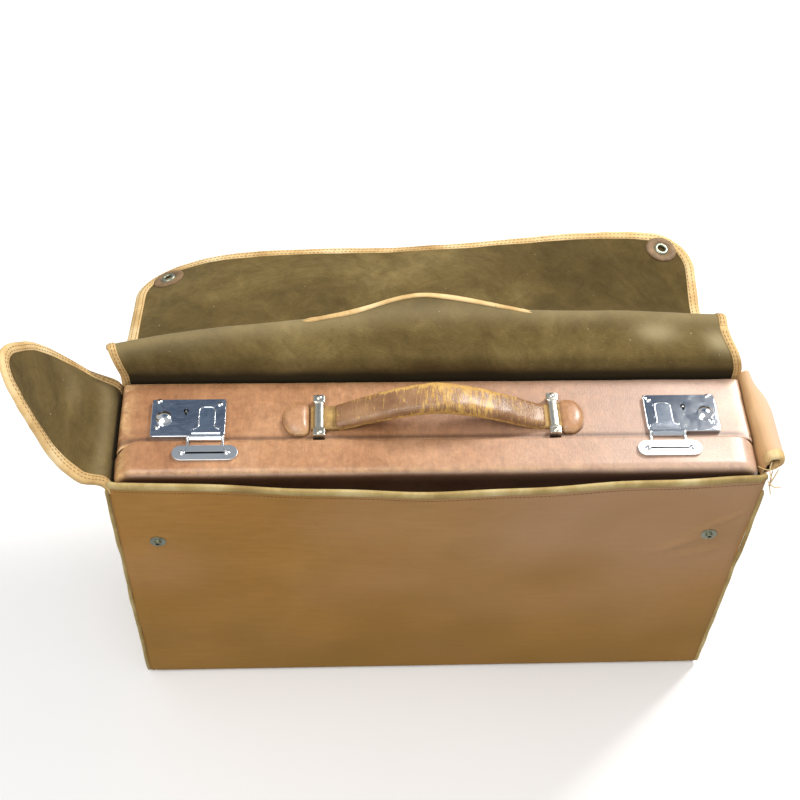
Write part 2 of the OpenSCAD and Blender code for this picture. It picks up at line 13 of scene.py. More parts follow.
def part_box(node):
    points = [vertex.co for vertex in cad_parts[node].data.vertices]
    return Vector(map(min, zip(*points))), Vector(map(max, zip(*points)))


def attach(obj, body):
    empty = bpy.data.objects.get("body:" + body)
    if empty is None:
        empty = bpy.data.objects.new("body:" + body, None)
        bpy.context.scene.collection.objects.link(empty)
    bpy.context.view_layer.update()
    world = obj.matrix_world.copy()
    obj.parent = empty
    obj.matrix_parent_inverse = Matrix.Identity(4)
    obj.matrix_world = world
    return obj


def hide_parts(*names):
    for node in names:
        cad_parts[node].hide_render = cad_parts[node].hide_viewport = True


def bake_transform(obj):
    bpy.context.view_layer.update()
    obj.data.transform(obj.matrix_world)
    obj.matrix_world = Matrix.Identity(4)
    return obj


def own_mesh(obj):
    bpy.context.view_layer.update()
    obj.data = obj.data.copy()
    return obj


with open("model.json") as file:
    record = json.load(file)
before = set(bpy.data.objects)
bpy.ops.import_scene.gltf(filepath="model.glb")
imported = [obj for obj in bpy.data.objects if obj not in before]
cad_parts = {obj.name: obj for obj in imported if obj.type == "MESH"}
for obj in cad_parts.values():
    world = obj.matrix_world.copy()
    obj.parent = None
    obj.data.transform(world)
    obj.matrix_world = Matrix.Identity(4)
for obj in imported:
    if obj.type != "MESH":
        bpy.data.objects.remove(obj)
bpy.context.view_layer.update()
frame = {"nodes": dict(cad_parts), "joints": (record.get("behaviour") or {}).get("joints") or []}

MM = 0.001
JOINTS = {j["name"]: j for j in frame["joints"]}


def box_mm(node):
    """Lowest and highest corner of a CAD node, in millimetres."""
    low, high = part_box(node)
    return np.array(low) / MM, np.array(high) / MM


def pivot(joint):
    """The place of a hinge, in millimetres."""
    return np.array(JOINTS[joint]["pos_m"]) / MM


# ---------------- sizes

case_low, case_high = box_mm("case_body_shell")
lid_low, lid_high = box_mm("case_lid_shell")
front_low, front_high = box_mm("cover_front_canvas")
TOP = case_high[2]                 # top of the case
COVER_X = front_high[0]            # half the cover's length
COVER_Y = -front_low[1]            # half the cover's depth
MOUTH = front_high[2]              # top edge of the front panel
WALL = 3.0                         # canvas and lining together
BACK_FOLD = pivot("lid_fold")
CREST = pivot("slit_fold")
FLAP_FOLD = pivot("flap_fold")
TONGUE_FOLD = pivot("left_tongue_fold")
REAR_L = float(np.hypot(*(CREST - BACK_FOLD)[1:]))
FRONT_L = float(np.hypot(*(FLAP_FOLD - CREST)[1:]))
FLAP_L = 103.0
LID_L = REAR_L + FRONT_L + FLAP_L
FLAP_R = 34.0
SLIT = (-94.0, 93.0)               # the lid hangs to the left, so its slit keeps its place
RIGHT_TOP = 262.0                  # top edge of the right wall's canvas, under the roll
LONG_CORNER = (228, 8, 2.2)        # start, span and depth of a long wall's turn into a corner
SHORT_CORNER = (41, 6, 1.5)
HALF_END = 47.0                    # half the width of an end wall's cloth
CUTS = (-1.5, -0.2, 1.5)           # inside, middle and outside of the cloth, off its middle surface
FOOT = (7, 3.0)                    # height and depth of a wall's turn under to the bottom
WORD = {-1: "left", 1: "right"}
TUBE_END = 0.35                    # a tube's ends are this much of its width
STITCH = 2.3                       # length of a stitch
STITCH_R = 0.33


# ---------------- small maths

def ease(t):
    """Smooth step from 0 to 1 as t goes from 0 to 1."""
    t = np.clip(t, 0.0, 1.0)
    return t * t * (3 - 2 * t)


def turn(t, centre, half):
    """Smooth step centred on a place, that wide to each side."""
    return ease((t - centre + half) / (2 * half))


def through(x, xs, ys):
    """A smooth curve through a few places and values."""
    xs = np.array(xs, float)
    ys = np.array(ys, float)
    slope = np.gradient(ys, xs)
    x = np.clip(x, xs[0], xs[-1])
    i = np.clip(np.searchsorted(xs, x) - 1, 0, len(xs) - 2)
    h = xs[i + 1] - xs[i]
    t = (x - xs[i]) / h
    return (ys[i] * (1 + 2 * t) * (1 - t) ** 2 + slope[i] * h * t * (1 - t) ** 2
            + ys[i + 1] * t * t * (3 - 2 * t) + slope[i + 1] * h * t * t * (t - 1))


def waves(a, b, size, seed):
    """Smooth irregular waves between about -1 and 1."""
    total = np.zeros(np.broadcast(a, b).shape)
    for k in range(6):
        way = seed * 1.7 + 2.4 * k
        pace = (0.55 + 0.21 * k) / size
        total = total + np.sin((a * math.cos(way) + b * math.sin(way)) * pace * 2 * math.pi + 1.9 * k + seed)
    return total / 3.2


def bell(at, centre, width):
    """A smooth hump: 1 at its centre, about a third of that one width away."""
    return np.exp(-((at - centre) / width) ** 2)


def corner_in(at, start, span, depth):
    """How far cloth is drawn in towards a corner, from a start on, over a span."""
    return depth * np.clip((np.abs(at) - start) / span, 0, 1.2) ** 2


def hang(begin, end, steps, slope):
    """How far out and up a cloth gets from begin to end; slope(at) is its angle there, in degrees."""
    h = (end - begin) / steps
    out = np.zeros(end.shape)
    up = np.zeros(end.shape)
    for k in range(steps):
        a = np.radians(slope(begin + (k + 0.5) * h))
        out += np.cos(a) * h
        up += np.sin(a) * h
    return out, up


def circle(count):
    """Angles at even steps round a circle."""
    return np.arange(count) * 2 * math.pi / count


def run_of(path):
    """Length along a path up to each of its points."""
    return np.concatenate([[0], np.cumsum(np.linalg.norm(np.diff(path, axis=0), axis=1))])


def path_at(path, run, places):
    """Points of a path at some lengths along it."""
    return np.stack([np.interp(places, run, path[:, k]) for k in range(path.shape[1])], -1)


def evenly(path, count):
    """The same path, with its points at even distances."""
    run = run_of(path)
    return path_at(path, run, np.linspace(0, run[-1], count))


def left_of(path):
    """Unit directions to the left of a path in the cloth's own plane."""
    way = unit(np.gradient(path, axis=0))
    return np.stack([-way[:, 1], way[:, 0]], 1)


def between(rows, lo, hi, count):
    """A grid of places: rows along the cloth, with even steps between two edges."""
    lo = np.broadcast_to(lo, len(rows))[:, None]
    hi = np.broadcast_to(hi, len(rows))[:, None]
    return np.repeat(rows[:, None], count, 1), lo + (hi - lo) * np.linspace(0, 1, count)


def point_at(x, y, z):
    """Points from three coordinates, any of which may be one number for all."""
    return np.stack(np.broadcast_arrays(x, y, z), -1)


# ---------------- meshes

def placed(name, data):
    """A new object in the scene."""
    obj = bpy.data.objects.new(name, data)
    bpy.context.scene.collection.objects.link(obj)
    return obj


def make(name, points, faces, material, slot, normals=None, fields=None):
    """A mesh object from points in millimetres, with its material and point fields; its slot is not used."""
    mesh = bpy.data.meshes.new(name)
    mesh.from_pydata((np.asarray(points, float) * MM).tolist(), [], [list(f) for f in faces])
    mesh.validate(clean_customdata=False)
    for key, values in (fields or {}).items():
        values = np.asarray(values, np.float32)
        kind = "FLOAT_VECTOR" if values.ndim == 2 else "FLOAT"
        attribute = mesh.attributes.new(key, kind, "POINT")
        attribute.data.foreach_set("vector" if values.ndim == 2 else "value", values.ravel())
    mesh.materials.append(material)
    mesh.polygons.foreach_set("use_smooth", [True] * len(mesh.polygons))
    mesh.update()
    if normals is not None:
        mesh.normals_split_custom_set(normals)
    obj = placed(name, mesh)
    return obj


def solid(name, points, faces, material, slot, fields=None):
    """A closed mesh object whose faces point outwards."""
    obj = make(name, points, faces, material, slot, fields=fields)
    work = bmesh.new()
    work.from_mesh(obj.data)
    bmesh.ops.recalc_face_normals(work, faces=work.faces)
    work.to_mesh(obj.data)
    work.free()
    return obj


def grid(rows, cols, start=0, flip=False, ring=False):
    """Quads of a rows x cols grid of points; ring closes it across the columns."""
    faces = []
    for r in range(rows - 1):
        for c in range(cols if ring else cols - 1):
            d = (c + 1) % cols
            quad = (start + r * cols + c, start + r * cols + d,
                    start + (r + 1) * cols + d, start + (r + 1) * cols + c)
            faces.append(quad[::-1] if flip else quad)
    return faces


def end_caps(rows, cols, flip=False):
    """The first and last ring of a grid, as two faces."""
    faces = [tuple(range(cols)), tuple((rows - 1) * cols + k for k in range(cols))[::-1]]
    return [f[::-1] for f in faces] if flip else faces


def unit(v):
    return v / np.maximum(np.linalg.norm(v, axis=-1, keepdims=True), 1e-12)


def surface_normals(surf, a, b, step=0.25):
    """Unit normals of surf(a, b), by differences."""
    da = surf(a + step, b) - surf(a - step, b)
    db = surf(a, b + step) - surf(a, b - step)
    return unit(np.cross(da, db))


def skin(name, surf, a, b, low, high, material, slot, tint=0.0, dark=0.0):
    """A closed thin skin: the layer of surf(a, b) between two heights along its normal."""
    rows, cols = a.shape
    mid = surf(a, b)
    n = surface_normals(surf, a, b)
    count = rows * cols
    top = (mid + n * high).reshape(-1, 3)
    bottom = (mid + n * low).reshape(-1, 3)
    points = np.concatenate([top, bottom])
    faces = grid(rows, cols, flip=True)
    under = grid(rows, cols, count)
    edge = ([c for c in range(cols)] + [r * cols + cols - 1 for r in range(1, rows)]
            + [(rows - 1) * cols + c for c in range(cols - 2, -1, -1)]
            + [r * cols for r in range(rows - 2, 0, -1)])
    rim = []
    for k, i in enumerate(edge):
        j = edge[(k + 1) % len(edge)]
        rim.append((i, j, j + count, i + count))
    flat_n = n.reshape(-1, 3)
    loops = [flat_n[i] for f in faces for i in f]
    loops += [-flat_n[i - count] for f in under for i in f]
    for f in rim:
        p = points[list(f)]
        side = np.cross(p[2] - p[0], p[3] - p[1])
        side = side / max(np.linalg.norm(side), 1e-9)
        loops += [side] * 4
    where = np.stack([a.ravel(), b.ravel(), np.zeros(count)], 1)
    fields = {"cloth": np.concatenate([where, where])}
    for key, values in (("tint", tint), ("dark", dark)):
        fields[key] = np.tile(np.broadcast_to(values, a.shape).ravel(), 2)
    return make(name, points, faces + under + rim, material, slot, loops, fields)


def tube(path, radius, sides=8, across=(0, 0, 1), flat=1.0):
    """Points and faces of a closed tube along a path; flat squeezes it along its second axis."""
    path = np.asarray(path, float)
    way = unit(np.gradient(path, axis=0))
    side = unit(np.cross(way, np.asarray(across, float)))
    up = unit(np.cross(side, way))
    size = np.full(len(path), float(radius))
    size[[0, -1]] *= TUBE_END
    cos, sin = np.cos(circle(sides))[None, :, None], np.sin(circle(sides))[None, :, None]
    ring = side[:, None] * cos + up[:, None] * sin * flat
    points = (path[:, None] + ring * size[:, None, None]).reshape(-1, 3)
    return points, grid(len(path), sides, ring=True) + end_caps(len(path), sides, flip=True)


class Heap:
    """Several shapes gathered into one mesh."""

    def __init__(self):
        self.points = []
        self.faces = []
        self.count = 0

    def add(self, points, faces):
        self.points.append(np.asarray(points, float))
        self.faces += [tuple(i + self.count for i in f) for f in faces]
        self.count += len(points)

    def build(self, name, material, slot, kind=solid):
        points = np.concatenate(self.points)
        return kind(name, points, self.faces, material, slot, fields={"cloth": points})


# ---------------- materials

class Tree:
    """A short way to write shader nodes."""

    def __init__(self, tree):
        self.tree = tree

    def node(self, kind, **settings):
        made = self.tree.nodes.new(kind)
        for key, value in settings.items():
            if key in made.inputs:
                made.inputs[key].default_value = value
            else:
                setattr(made, key, value)
        return made

    def link(self, out, to):
        self.tree.links.new(out, to)

    def feed(self, socket, value):
        """Gives a socket another node's output, a number or a colour."""
        if isinstance(value, bpy.types.NodeSocket):
            self.link(value, socket)
        elif np.isscalar(value):
            socket.default_value = value
        elif value is not None:
            socket.default_value = (*value, 1)

    def noise(self, where, scale, detail=4.0, roughness=0.55, distortion=0.0):
        made = self.node("ShaderNodeTexNoise", Scale=scale, Detail=detail, Roughness=roughness,
                         Distortion=distortion)
        self.link(where, made.inputs["Vector"])
        return made.outputs["Fac"]

    def ramp(self, value, *stops):
        made = self.node("ShaderNodeValToRGB")
        line = made.color_ramp
        for at, _ in stops[1:-1]:
            line.elements.new(at)
        for element, (at, colour) in zip(line.elements, stops):
            element.position = at
            if np.isscalar(colour):
                colour = (colour, colour, colour)
            element.color = (*colour, 1)
        self.link(value, made.inputs["Fac"])
        return made.outputs["Color"]

    def math(self, operation, *values):
        made = self.node("ShaderNodeMath", operation=operation)
        for socket, value in zip(made.inputs, values):
            self.feed(socket, value)
        return made.outputs[0]


class Nodes(Tree):
    """The nodes of one material."""

    def __init__(self, name, roughness=0.6, metallic=0.0, sheen=0.0, specular=0.5, coat=0.0):
        self.material = bpy.data.materials.new(name)
        self.material.use_nodes = True
        super().__init__(self.material.node_tree)
        self.shader = self.tree.nodes["Principled BSDF"]
        self.set("Roughness", roughness)
        self.set("Metallic", metallic)
        self.set("Specular IOR Level", specular)
        if sheen:
            self.set("Sheen Weight", sheen)
            self.set("Sheen Roughness", 0.45)
            self.set("Sheen Tint", (0.95, 0.85, 0.6, 1))
        if coat:
            self.set("Coat Weight", coat)
            self.set("Coat Roughness", 0.25)

    def set(self, socket, value):
        self.shader.inputs[socket].default_value = value

    def place(self, scale=(1, 1, 1), field=None):
        """Coordinates in metres times scale: the object's own, or a point field in millimetres."""
        if field:
            source = self.node("ShaderNodeAttribute", attribute_name=field).outputs["Vector"]
            scale = [s * MM for s in scale]
        else:
            source = self.node("ShaderNodeTexCoord").outputs["Object"]
        mapping = self.node("ShaderNodeMapping")
        mapping.inputs["Scale"].default_value = scale
        self.link(source, mapping.inputs["Vector"])
        return mapping.outputs["Vector"]

    def cells(self, where, scale):
        made = self.node("ShaderNodeTexVoronoi", Scale=scale)
        self.link(where, made.inputs["Vector"])
        return made.outputs["Distance"]

    def bands(self, where, scale, direction="X", distortion=0.0):
        made = self.node("ShaderNodeTexWave", Scale=scale, Distortion=distortion)
        made.bands_direction = direction
        self.link(where, made.inputs["Vector"])
        return made.outputs["Fac"]

    def mix(self, share, one, two, blend="MIX"):
        made = self.node("ShaderNodeMix", data_type="RGBA", blend_type=blend)
        for socket, value in ((made.inputs[0], share), (made.inputs[6], one), (made.inputs[7], two)):
            self.feed(socket, value)
        return made.outputs[2]

    def mottle(self, share, tone, value, dark, light):
        """The tone made darker where a noise value is low and lighter where it is high."""
        return self.mix(share, tone, self.ramp(value, (0.3, dark), (0.7, light)), "MULTIPLY")

    def field(self, name):
        return self.node("ShaderNodeAttribute", attribute_name=name).outputs["Fac"]

    def colour(self, out):
        self.link(out, self.shader.inputs["Base Color"])

    def rough(self, value, low, high):
        """Roughness that follows a value between two limits."""
        made = self.node("ShaderNodeMapRange")
        made.inputs["To Min"].default_value = low
        made.inputs["To Max"].default_value = high
        self.link(value, made.inputs["Value"])
        self.link(made.outputs[0], self.shader.inputs["Roughness"])

    def bump(self, *layers):
        """Bump from (value, depth in metres) layers, one on another."""
        last = None
        for value, depth in layers:
            made = self.node("ShaderNodeBump", Strength=1.0, Distance=depth)
            self.link(value, made.inputs["Height"])
            if last is not None:
                self.link(last, made.inputs["Normal"])
            last = made.outputs["Normal"]
        self.link(last, self.shader.inputs["Normal"])
        return self.material


def canvas_material(name, base, light):
    m = Nodes(name, roughness=0.74, sheen=0.06, specular=0.3)
    cloth = m.place(field="cloth")
    streaks = m.noise(m.place((240, 34, 1), field="cloth"), 1.0, 5)
    blotch = m.noise(cloth, 7.0, 5, 0.6, 0.8)
    spots = m.noise(cloth, 70.0, 4, 0.6)
    tone = m.mix(m.ramp(blotch, (0.30, 0.0), (0.70, 1.0)), base, light)
    tone = m.mottle(0.22, tone, streaks, 0.62, 1.25)
    tone = m.mix(m.ramp(spots, (0.66, 0.0), (0.80, 0.35)), tone, [c * 0.55 for c in base])
    rosy = [light[0] * 1.05, light[1] * 1.22, light[2] * 3.0]
    tone = m.mix(m.field("tint"), tone, rosy)
    tone = m.mix(m.field("dark"), tone, [base[0] * 0.72, base[1] * 0.80, base[2] * 0.62])
    m.colour(tone)
    weft = m.bands(m.place((0, 1, 0), field="cloth"), 420.0, "Y", 0.4)
    warp = m.bands(m.place((1, 0, 0), field="cloth"), 420.0, "X", 0.4)
    weave = m.math("ADD", weft, m.math("MULTIPLY", warp, 0.6))
    return m.bump((weave, 0.00010), (streaks, 0.0002), (m.noise(cloth, 30.0, 4), 0.0007))


def lining_material():
    m = Nodes("moleskin", roughness=0.95, sheen=0.16, specular=0.06)
    cloth = m.place(field="cloth")
    broad = m.noise(cloth, 9.0, 7, 0.68, 1.0)
    nap = m.noise(cloth, 55.0, 6, 0.7, 0.8)
    hair = m.noise(m.place((1100, 300, 1), field="cloth"), 1.0, 3)
    tone = m.ramp(broad, (0.30, (0.078, 0.052, 0.018)), (0.50, (0.120, 0.083, 0.029)),
                  (0.72, (0.190, 0.138, 0.054)))
    tone = m.mottle(0.60, tone, nap, 0.62, 1.40)
    tone = m.mottle(0.25, tone, hair, 0.6, 1.4)
    tone = m.mix(m.field("tint"), tone, (0.52, 0.43, 0.25))
    lint = m.ramp(m.noise(cloth, 420.0, 1, 0.3), (0.79, 0.0), (0.82, 0.7))
    tone = m.mix(lint, tone, (0.5, 0.42, 0.28))
    # painted shade: the dark field turns the moleskin near black where it lies in shade
    tone = m.mix(m.field("dark"), tone, (0.022, 0.014, 0.005))
    m.colour(tone)
    return m.bump((nap, 0.0005), (hair, 0.00025))


def binding_material(name, deep, mid, pale):
    m = Nodes(name, roughness=0.72, sheen=0.06, specular=0.25)
    cloth = m.place(field="cloth")
    soil = m.noise(cloth, 28.0, 5, 0.6, 0.4)
    tone = m.ramp(soil, (0.30, deep), (0.50, mid), (0.72, pale))
    scuff = m.ramp(m.noise(cloth, 120.0, 4, 0.7), (0.60, 0.0), (0.75, 0.7))
    tone = m.mix(scuff, tone, (0.33, 0.15, 0.045))
    m.colour(tone)
    ribs = m.bands(cloth, 420.0, "DIAGONAL", 0.5)
    return m.bump((ribs, 0.00012), (soil, 0.0004))


def thread_material():
    m = Nodes("thread", roughness=0.7)
    where = m.place()
    tone = m.ramp(m.noise(where, 90.0, 3), (0.35, (0.11, 0.055, 0.02)), (0.65, (0.26, 0.15, 0.06)))
    m.colour(tone)
    return m.bump((m.bands(where, 900.0, "DIAGONAL"), 0.0001))


def case_leather_material():
    m = Nodes("case_hide", roughness=0.42, specular=0.5, coat=0.5)
    where = m.place()
    broad = m.noise(where, 12.0, 6, 0.62, 0.6)
    fine = m.noise(where, 150.0, 6, 0.7)
    hairs = m.noise(m.place((260, 50, 140)), 1.0, 6, 0.7, 1.6)
    tone = m.ramp(broad, (0.26, (0.26, 0.108, 0.043)), (0.5, (0.385, 0.185, 0.082)),
                  (0.76, (0.52, 0.285, 0.150)))
    tone = m.mottle(0.55, tone, fine, 0.60, 1.36)
    tone = m.mottle(0.45, tone, hairs, 0.66, 1.30)
    worn = m.ramp(m.noise(where, 75.0, 6, 0.7, 0.5), (0.40, 0.0), (0.58, 1.0))
    edge = m.math("MULTIPLY", m.field("edge"), worn)
    tone = m.mix(edge, tone, (0.72, 0.47, 0.22))
    scratch = m.ramp(m.noise(m.place((30, 6, 30)), 1.6, 9, 0.85, 1.5), (0.66, 0.0), (0.72, 0.55))
    tone = m.mix(scratch, tone, (0.68, 0.45, 0.26))
    # painted sheen: the tint field pales the leather to a pink-grey haze towards the right, standing in for
    # gloss
    tone = m.mix(m.field("tint"), tone, m.mix(0.5, tone, (0.80, 0.66, 0.60)))
    tone = m.mix(m.field("tint"), tone, (0.66, 0.56, 0.52))
    # painted shade: the dark field darkens the leather next to the parting line, on the lid's front face and
    # on the faces under the top
    tone = m.mix(m.field("dark"), tone, (0.045, 0.018, 0.010))
    m.colour(tone)
    m.rough(fine, 0.30, 0.55)
    grain = m.cells(where, 1000.0)
    return m.bump((grain, 0.00012), (m.noise(where, 420.0, 4), 0.00016), (broad, 0.0008))


def handle_leather_material():
    m = Nodes("handle_hide", roughness=0.40, specular=0.5, coat=0.3)
    where = m.place()
    cracks = m.noise(m.place((520, 70, 70)), 1.0, 9, 0.72, 0.9)
    broad = m.noise(where, 45.0, 5, 0.6)
    brown = m.ramp(broad, (0.3, (0.19, 0.085, 0.032)), (0.7, (0.36, 0.195, 0.090)))
    worn = m.math("ADD", m.math("MULTIPLY", m.field("edge"), 0.42), m.math("MULTIPLY", cracks, 0.96))
    amount = m.ramp(worn, (0.565, 0.0), (0.615, 1.0))
    ochre = m.ramp(m.noise(where, 170.0, 4, 0.7), (0.3, (0.36, 0.18, 0.035)), (0.7, (0.66, 0.41, 0.11)))
    m.colour(m.mix(amount, brown, ochre))
    m.rough(amount, 0.30, 0.70)
    return m.bump((cracks, 0.0006), (m.cells(where, 900.0), 0.00015))


def strap_leather_material():
    m = Nodes("strap_hide", roughness=0.6)
    where = m.place()
    tone = m.ramp(m.noise(where, 90.0, 6, 0.7), (0.3, (0.16, 0.085, 0.025)), (0.55, (0.40, 0.24, 0.07)),
                  (0.75, (0.55, 0.36, 0.12)))
    m.colour(tone)
    return m.bump((m.noise(m.place((500, 80, 80)), 1.0, 6, 0.7), 0.0004))


def patch_leather_material(name, base):
    m = Nodes(name, roughness=0.66, sheen=0.1)
    where = m.place()
    soil = m.noise(where, 130.0, 5, 0.65)
    m.colour(m.ramp(soil, (0.3, [c * 0.6 for c in base]), (0.7, [c * 1.35 for c in base])))
    return m.bump((m.cells(where, 800.0), 0.00015), (m.noise(where, 300.0, 4), 0.0002))


def metal_material(name, base, low, high, stain, spots=0.72):
    m = Nodes(name, roughness=low, metallic=1.0)
    where = m.place()
    film = m.noise(where, 70.0, 6, 0.65, 0.5)
    tone = m.mix(m.ramp(film, (0.35, 0.0), (0.75, 0.55)), base, stain)
    pits = m.ramp(m.noise(where, 700.0, 3, 0.6), (spots, 0.0), (spots + 0.06, 0.8))
    tone = m.mix(pits, tone, [c * 0.35 for c in stain])
    m.colour(tone)
    m.rough(film, low, high)
    lines = m.noise(m.place((40, 900, 900)), 1.0, 3)
    return m.bump((lines, 0.00001), (m.noise(where, 40.0, 3), 0.0003))


def plain_cloth_material(name, base):
    m = Nodes(name, roughness=0.85)
    where = m.place()
    soil = m.noise(where, 50.0, 5)
    m.colour(m.ramp(soil, (0.3, [c * 0.75 for c in base]), (0.7, [c * 1.2 for c in base])))
    return m.bump((m.bands(where, 300.0, "DIAGONAL"), 0.0001))


CANVAS_MAT = canvas_material("waxed_canvas", (0.345, 0.160, 0.027), (0.395, 0.200, 0.045))
ROLL_MAT = canvas_material("bleached_canvas", (0.62, 0.34, 0.09), (0.72, 0.44, 0.15))
LINING_MAT = lining_material()
TAPE_MAT = binding_material("tape", (0.42, 0.25, 0.09), (0.66, 0.45, 0.20), (0.82, 0.64, 0.36))
PIPING_MAT = binding_material("piping", (0.26, 0.17, 0.055), (0.40, 0.29, 0.11), (0.58, 0.47, 0.24))
THREAD_MAT = thread_material()
CASE_MAT = case_leather_material()
HANDLE_MAT = handle_leather_material()
STRAP_MAT = strap_leather_material()
PATCH_MAT = patch_leather_material("patch_hide", (0.20, 0.12, 0.055))
CHROME_MAT = metal_material("chrome_plate", (0.80, 0.83, 0.88), 0.05, 0.16, (0.55, 0.57, 0.60))
HASP_MAT = metal_material("hasp_chrome", (0.76, 0.82, 0.90), 0.09, 0.17, (0.58, 0.63, 0.70))
SATIN_MAT = metal_material("satin_plate", (0.80, 0.83, 0.84), 0.24, 0.40, (0.60, 0.62, 0.62))
NICKEL_MAT = metal_material("worn_nickel", (0.70, 0.68, 0.60), 0.18, 0.42, (0.42, 0.38, 0.27), 0.66)
STEEL_MAT = metal_material("plain_steel", (0.50, 0.50, 0.50), 0.3, 0.5, (0.25, 0.22, 0.18))
BRASS_MAT = metal_material("aged_brass", (0.38, 0.41, 0.33), 0.30, 0.55, (0.20, 0.20, 0.12), 0.62)
# near-black steel under the keyholes: the steel is there, its near-black tone is painted shade in the holes
DARK_MAT = metal_material("keyhole_shade_steel", (0.05, 0.05, 0.05), 0.5, 0.7, (0.02, 0.02, 0.02))
CASE_LINING_MAT = plain_cloth_material("case_cloth", (0.50, 0.40, 0.28))


# ---------------- cloth of the cover's lid

# Places across the lid, from left to right, and how it hangs at each.
LID_X = (-237, -170, -104, -2, 86, 160, 237)
CREST_S = (13, 23, 30, 40, 40, 38, 34)           # cloth from the back fold to the crest
REAR_A = (66, 46, 27, 30, 17, 20, 20)            # slope up to the crest, degrees
FRONT_A = (-55, -55, -55, -55, -53, -52, -52)    # slope down behind it
DROP_S = (90, 96, 99, 104, 106, 115, 127)        # cloth to where the flap levels out
FLAP_A = (-16, -9, -8, -12, -6, 4, 17)           # slope of the drop flap
LID_W = 232.5
LID_SHIFT = 11.0                   # the lid hangs a little to the left, its flap less so
LID_START = -24.0
LIP_REAR = 26.0
LIP_FRONT = REAR_L + 13.0


def lip_lift(x):
    """1 where the lips of the handle slit stand free, 0 at and past its ends."""
    return ease(np.minimum(x - SLIT[0], SLIT[1] - x) / 26)


def lid_point(s, x, free=0.0):
    """A point of the lid's cloth, s along it from the back fold; free leaves out the crest's fold."""
    s, x = np.broadcast_arrays(np.asarray(s, float), np.asarray(x, float))
    crest = through(x, LID_X, CREST_S)
    rear = through(x, LID_X, REAR_A)
    front = through(x, LID_X, FRONT_A)
    drop = through(x, LID_X, DROP_S)
    flap = through(x, LID_X, FLAP_A)
    begin = -30.0
    over = 1 - free * lip_lift(x)

    def slope(at):
        return (90 + (rear - 90) * turn(at, 1, 7) + (front - rear) * over * turn(at, crest, 6.5)
                + (flap - front) * turn(at, drop, 20) - 5 * ease((at - 160) / 50))

    y, z = hang(begin, s, 110, slope)
    shift = LID_SHIFT * ease((s + 14) / 44) * (1 - 0.4 * ease((s - 60) / 50))
    tuck = corner_in(x, *LONG_CORNER) * (1 - ease((s - LID_START) / 22))
    ripple = 0.9 * waves(s, x, 95, 3) + 0.45 * waves(s, x, 38, 5)
    place = np.stack([x - shift, BACK_FOLD[1] + y - tuck, BACK_FOLD[2] + begin + z], -1)
    lean = np.radians(-40.0 * np.tanh((s - crest) / 5.0))
    ripple = ripple * ease((s + 10) / 40)
    place[..., 1] += ripple * np.sin(lean) * 0.5
    place[..., 2] += ripple * 0.8
    return place


def lid_half(s):
    """Half the lid's width at s, with the flap's two round corners."""
    past = np.clip(s - (LID_L - FLAP_R), 0, FLAP_R)
    return LID_W - FLAP_R + np.sqrt(np.maximum(FLAP_R ** 2 - past ** 2, 0))


def lid_rows(lo, hi):
    """Places of the grid's rows, closer together round the flap's corners."""
    straight = np.arange(lo, min(hi, LID_L - FLAP_R) + 0.01, 2.0)
    if hi <= LID_L - FLAP_R:
        straight[-1] = hi
        return straight
    straight[-1] = LID_L - FLAP_R
    bend = LID_L - FLAP_R + FLAP_R * np.sin(np.linspace(0, math.pi / 2, 22)[1:])
    return np.concatenate([straight, bend])


def lid_tint(s, x):
    """Paler places of the lining: along the crest, and two patches towards the right."""
    crest = through(x, LID_X, CREST_S)
    stain = 0.45 * bell(x, 178, 16) * bell(s, 22, 8) + 0.55 * bell(x, 222, 10) * bell(s, 14, 9)
    return 0.22 * bell(s, crest, 9) + stain


def lid_dark(s, x):
    """Painted shade: deep behind the case, and a little all over the right half of the drop flap."""
    # painted shade over the right half of the drop flap, where less light falls
    flap = ease((s - 95) / 30) * ease((x + 20) / 200)
    # painted shade deep behind the case, where the case shades the cloth
    case_shade = 0.88 * (1 - ease((s + 13) / 11)) + 0.16 * (1 - ease((s + 2) / 14))
    return np.clip(case_shade + 0.42 * flap + 0.10 * waves(s, x, 60, 12), 0, 0.97)


def two_layers(name, surf, a, b, finish, outer=(0, 0), inner=(0, 0), cuts=CUTS, word="canvas", material=None):
    """Canvas and moleskin of one piece of cloth, each with its (tint, dark); finish(obj) is called on each.
    """
    low, middle, high = cuts
    canvas = skin(name + "_" + word, surf, a, b, middle, high, material or CANVAS_MAT, "canvas", *outer)
    lining = skin(name + "_moleskin", surf, a, b, low, middle, LINING_MAT, "lining", *inner)
    for obj in (canvas, lining):
        finish(obj)
    return canvas, lining


def on_back_fold(obj):
    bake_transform(obj)


def on_crest(obj):
    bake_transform(obj)


def on_flap_fold(obj):
    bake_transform(obj)


def on_rear_lip(obj):
    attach(obj, "lid_rear")
    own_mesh(obj)


def on_front_lip(obj):
    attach(obj, "lid_front")
    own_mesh(obj)


def free_lid(s, x):
    return lid_point(s, x, free=1.0)


def rear_lip_edge(x):
    """Edge of the slit's rear lip, measured along the cloth."""
    return through(x, (SLIT[0], -51, 1, 54, SLIT[1]), (31, 40, 52, 46, 38))


def front_lip_edge(x):
    return rear_lip_edge(x) + 4.5 * lip_lift(x) ** 2.5 + 0.05


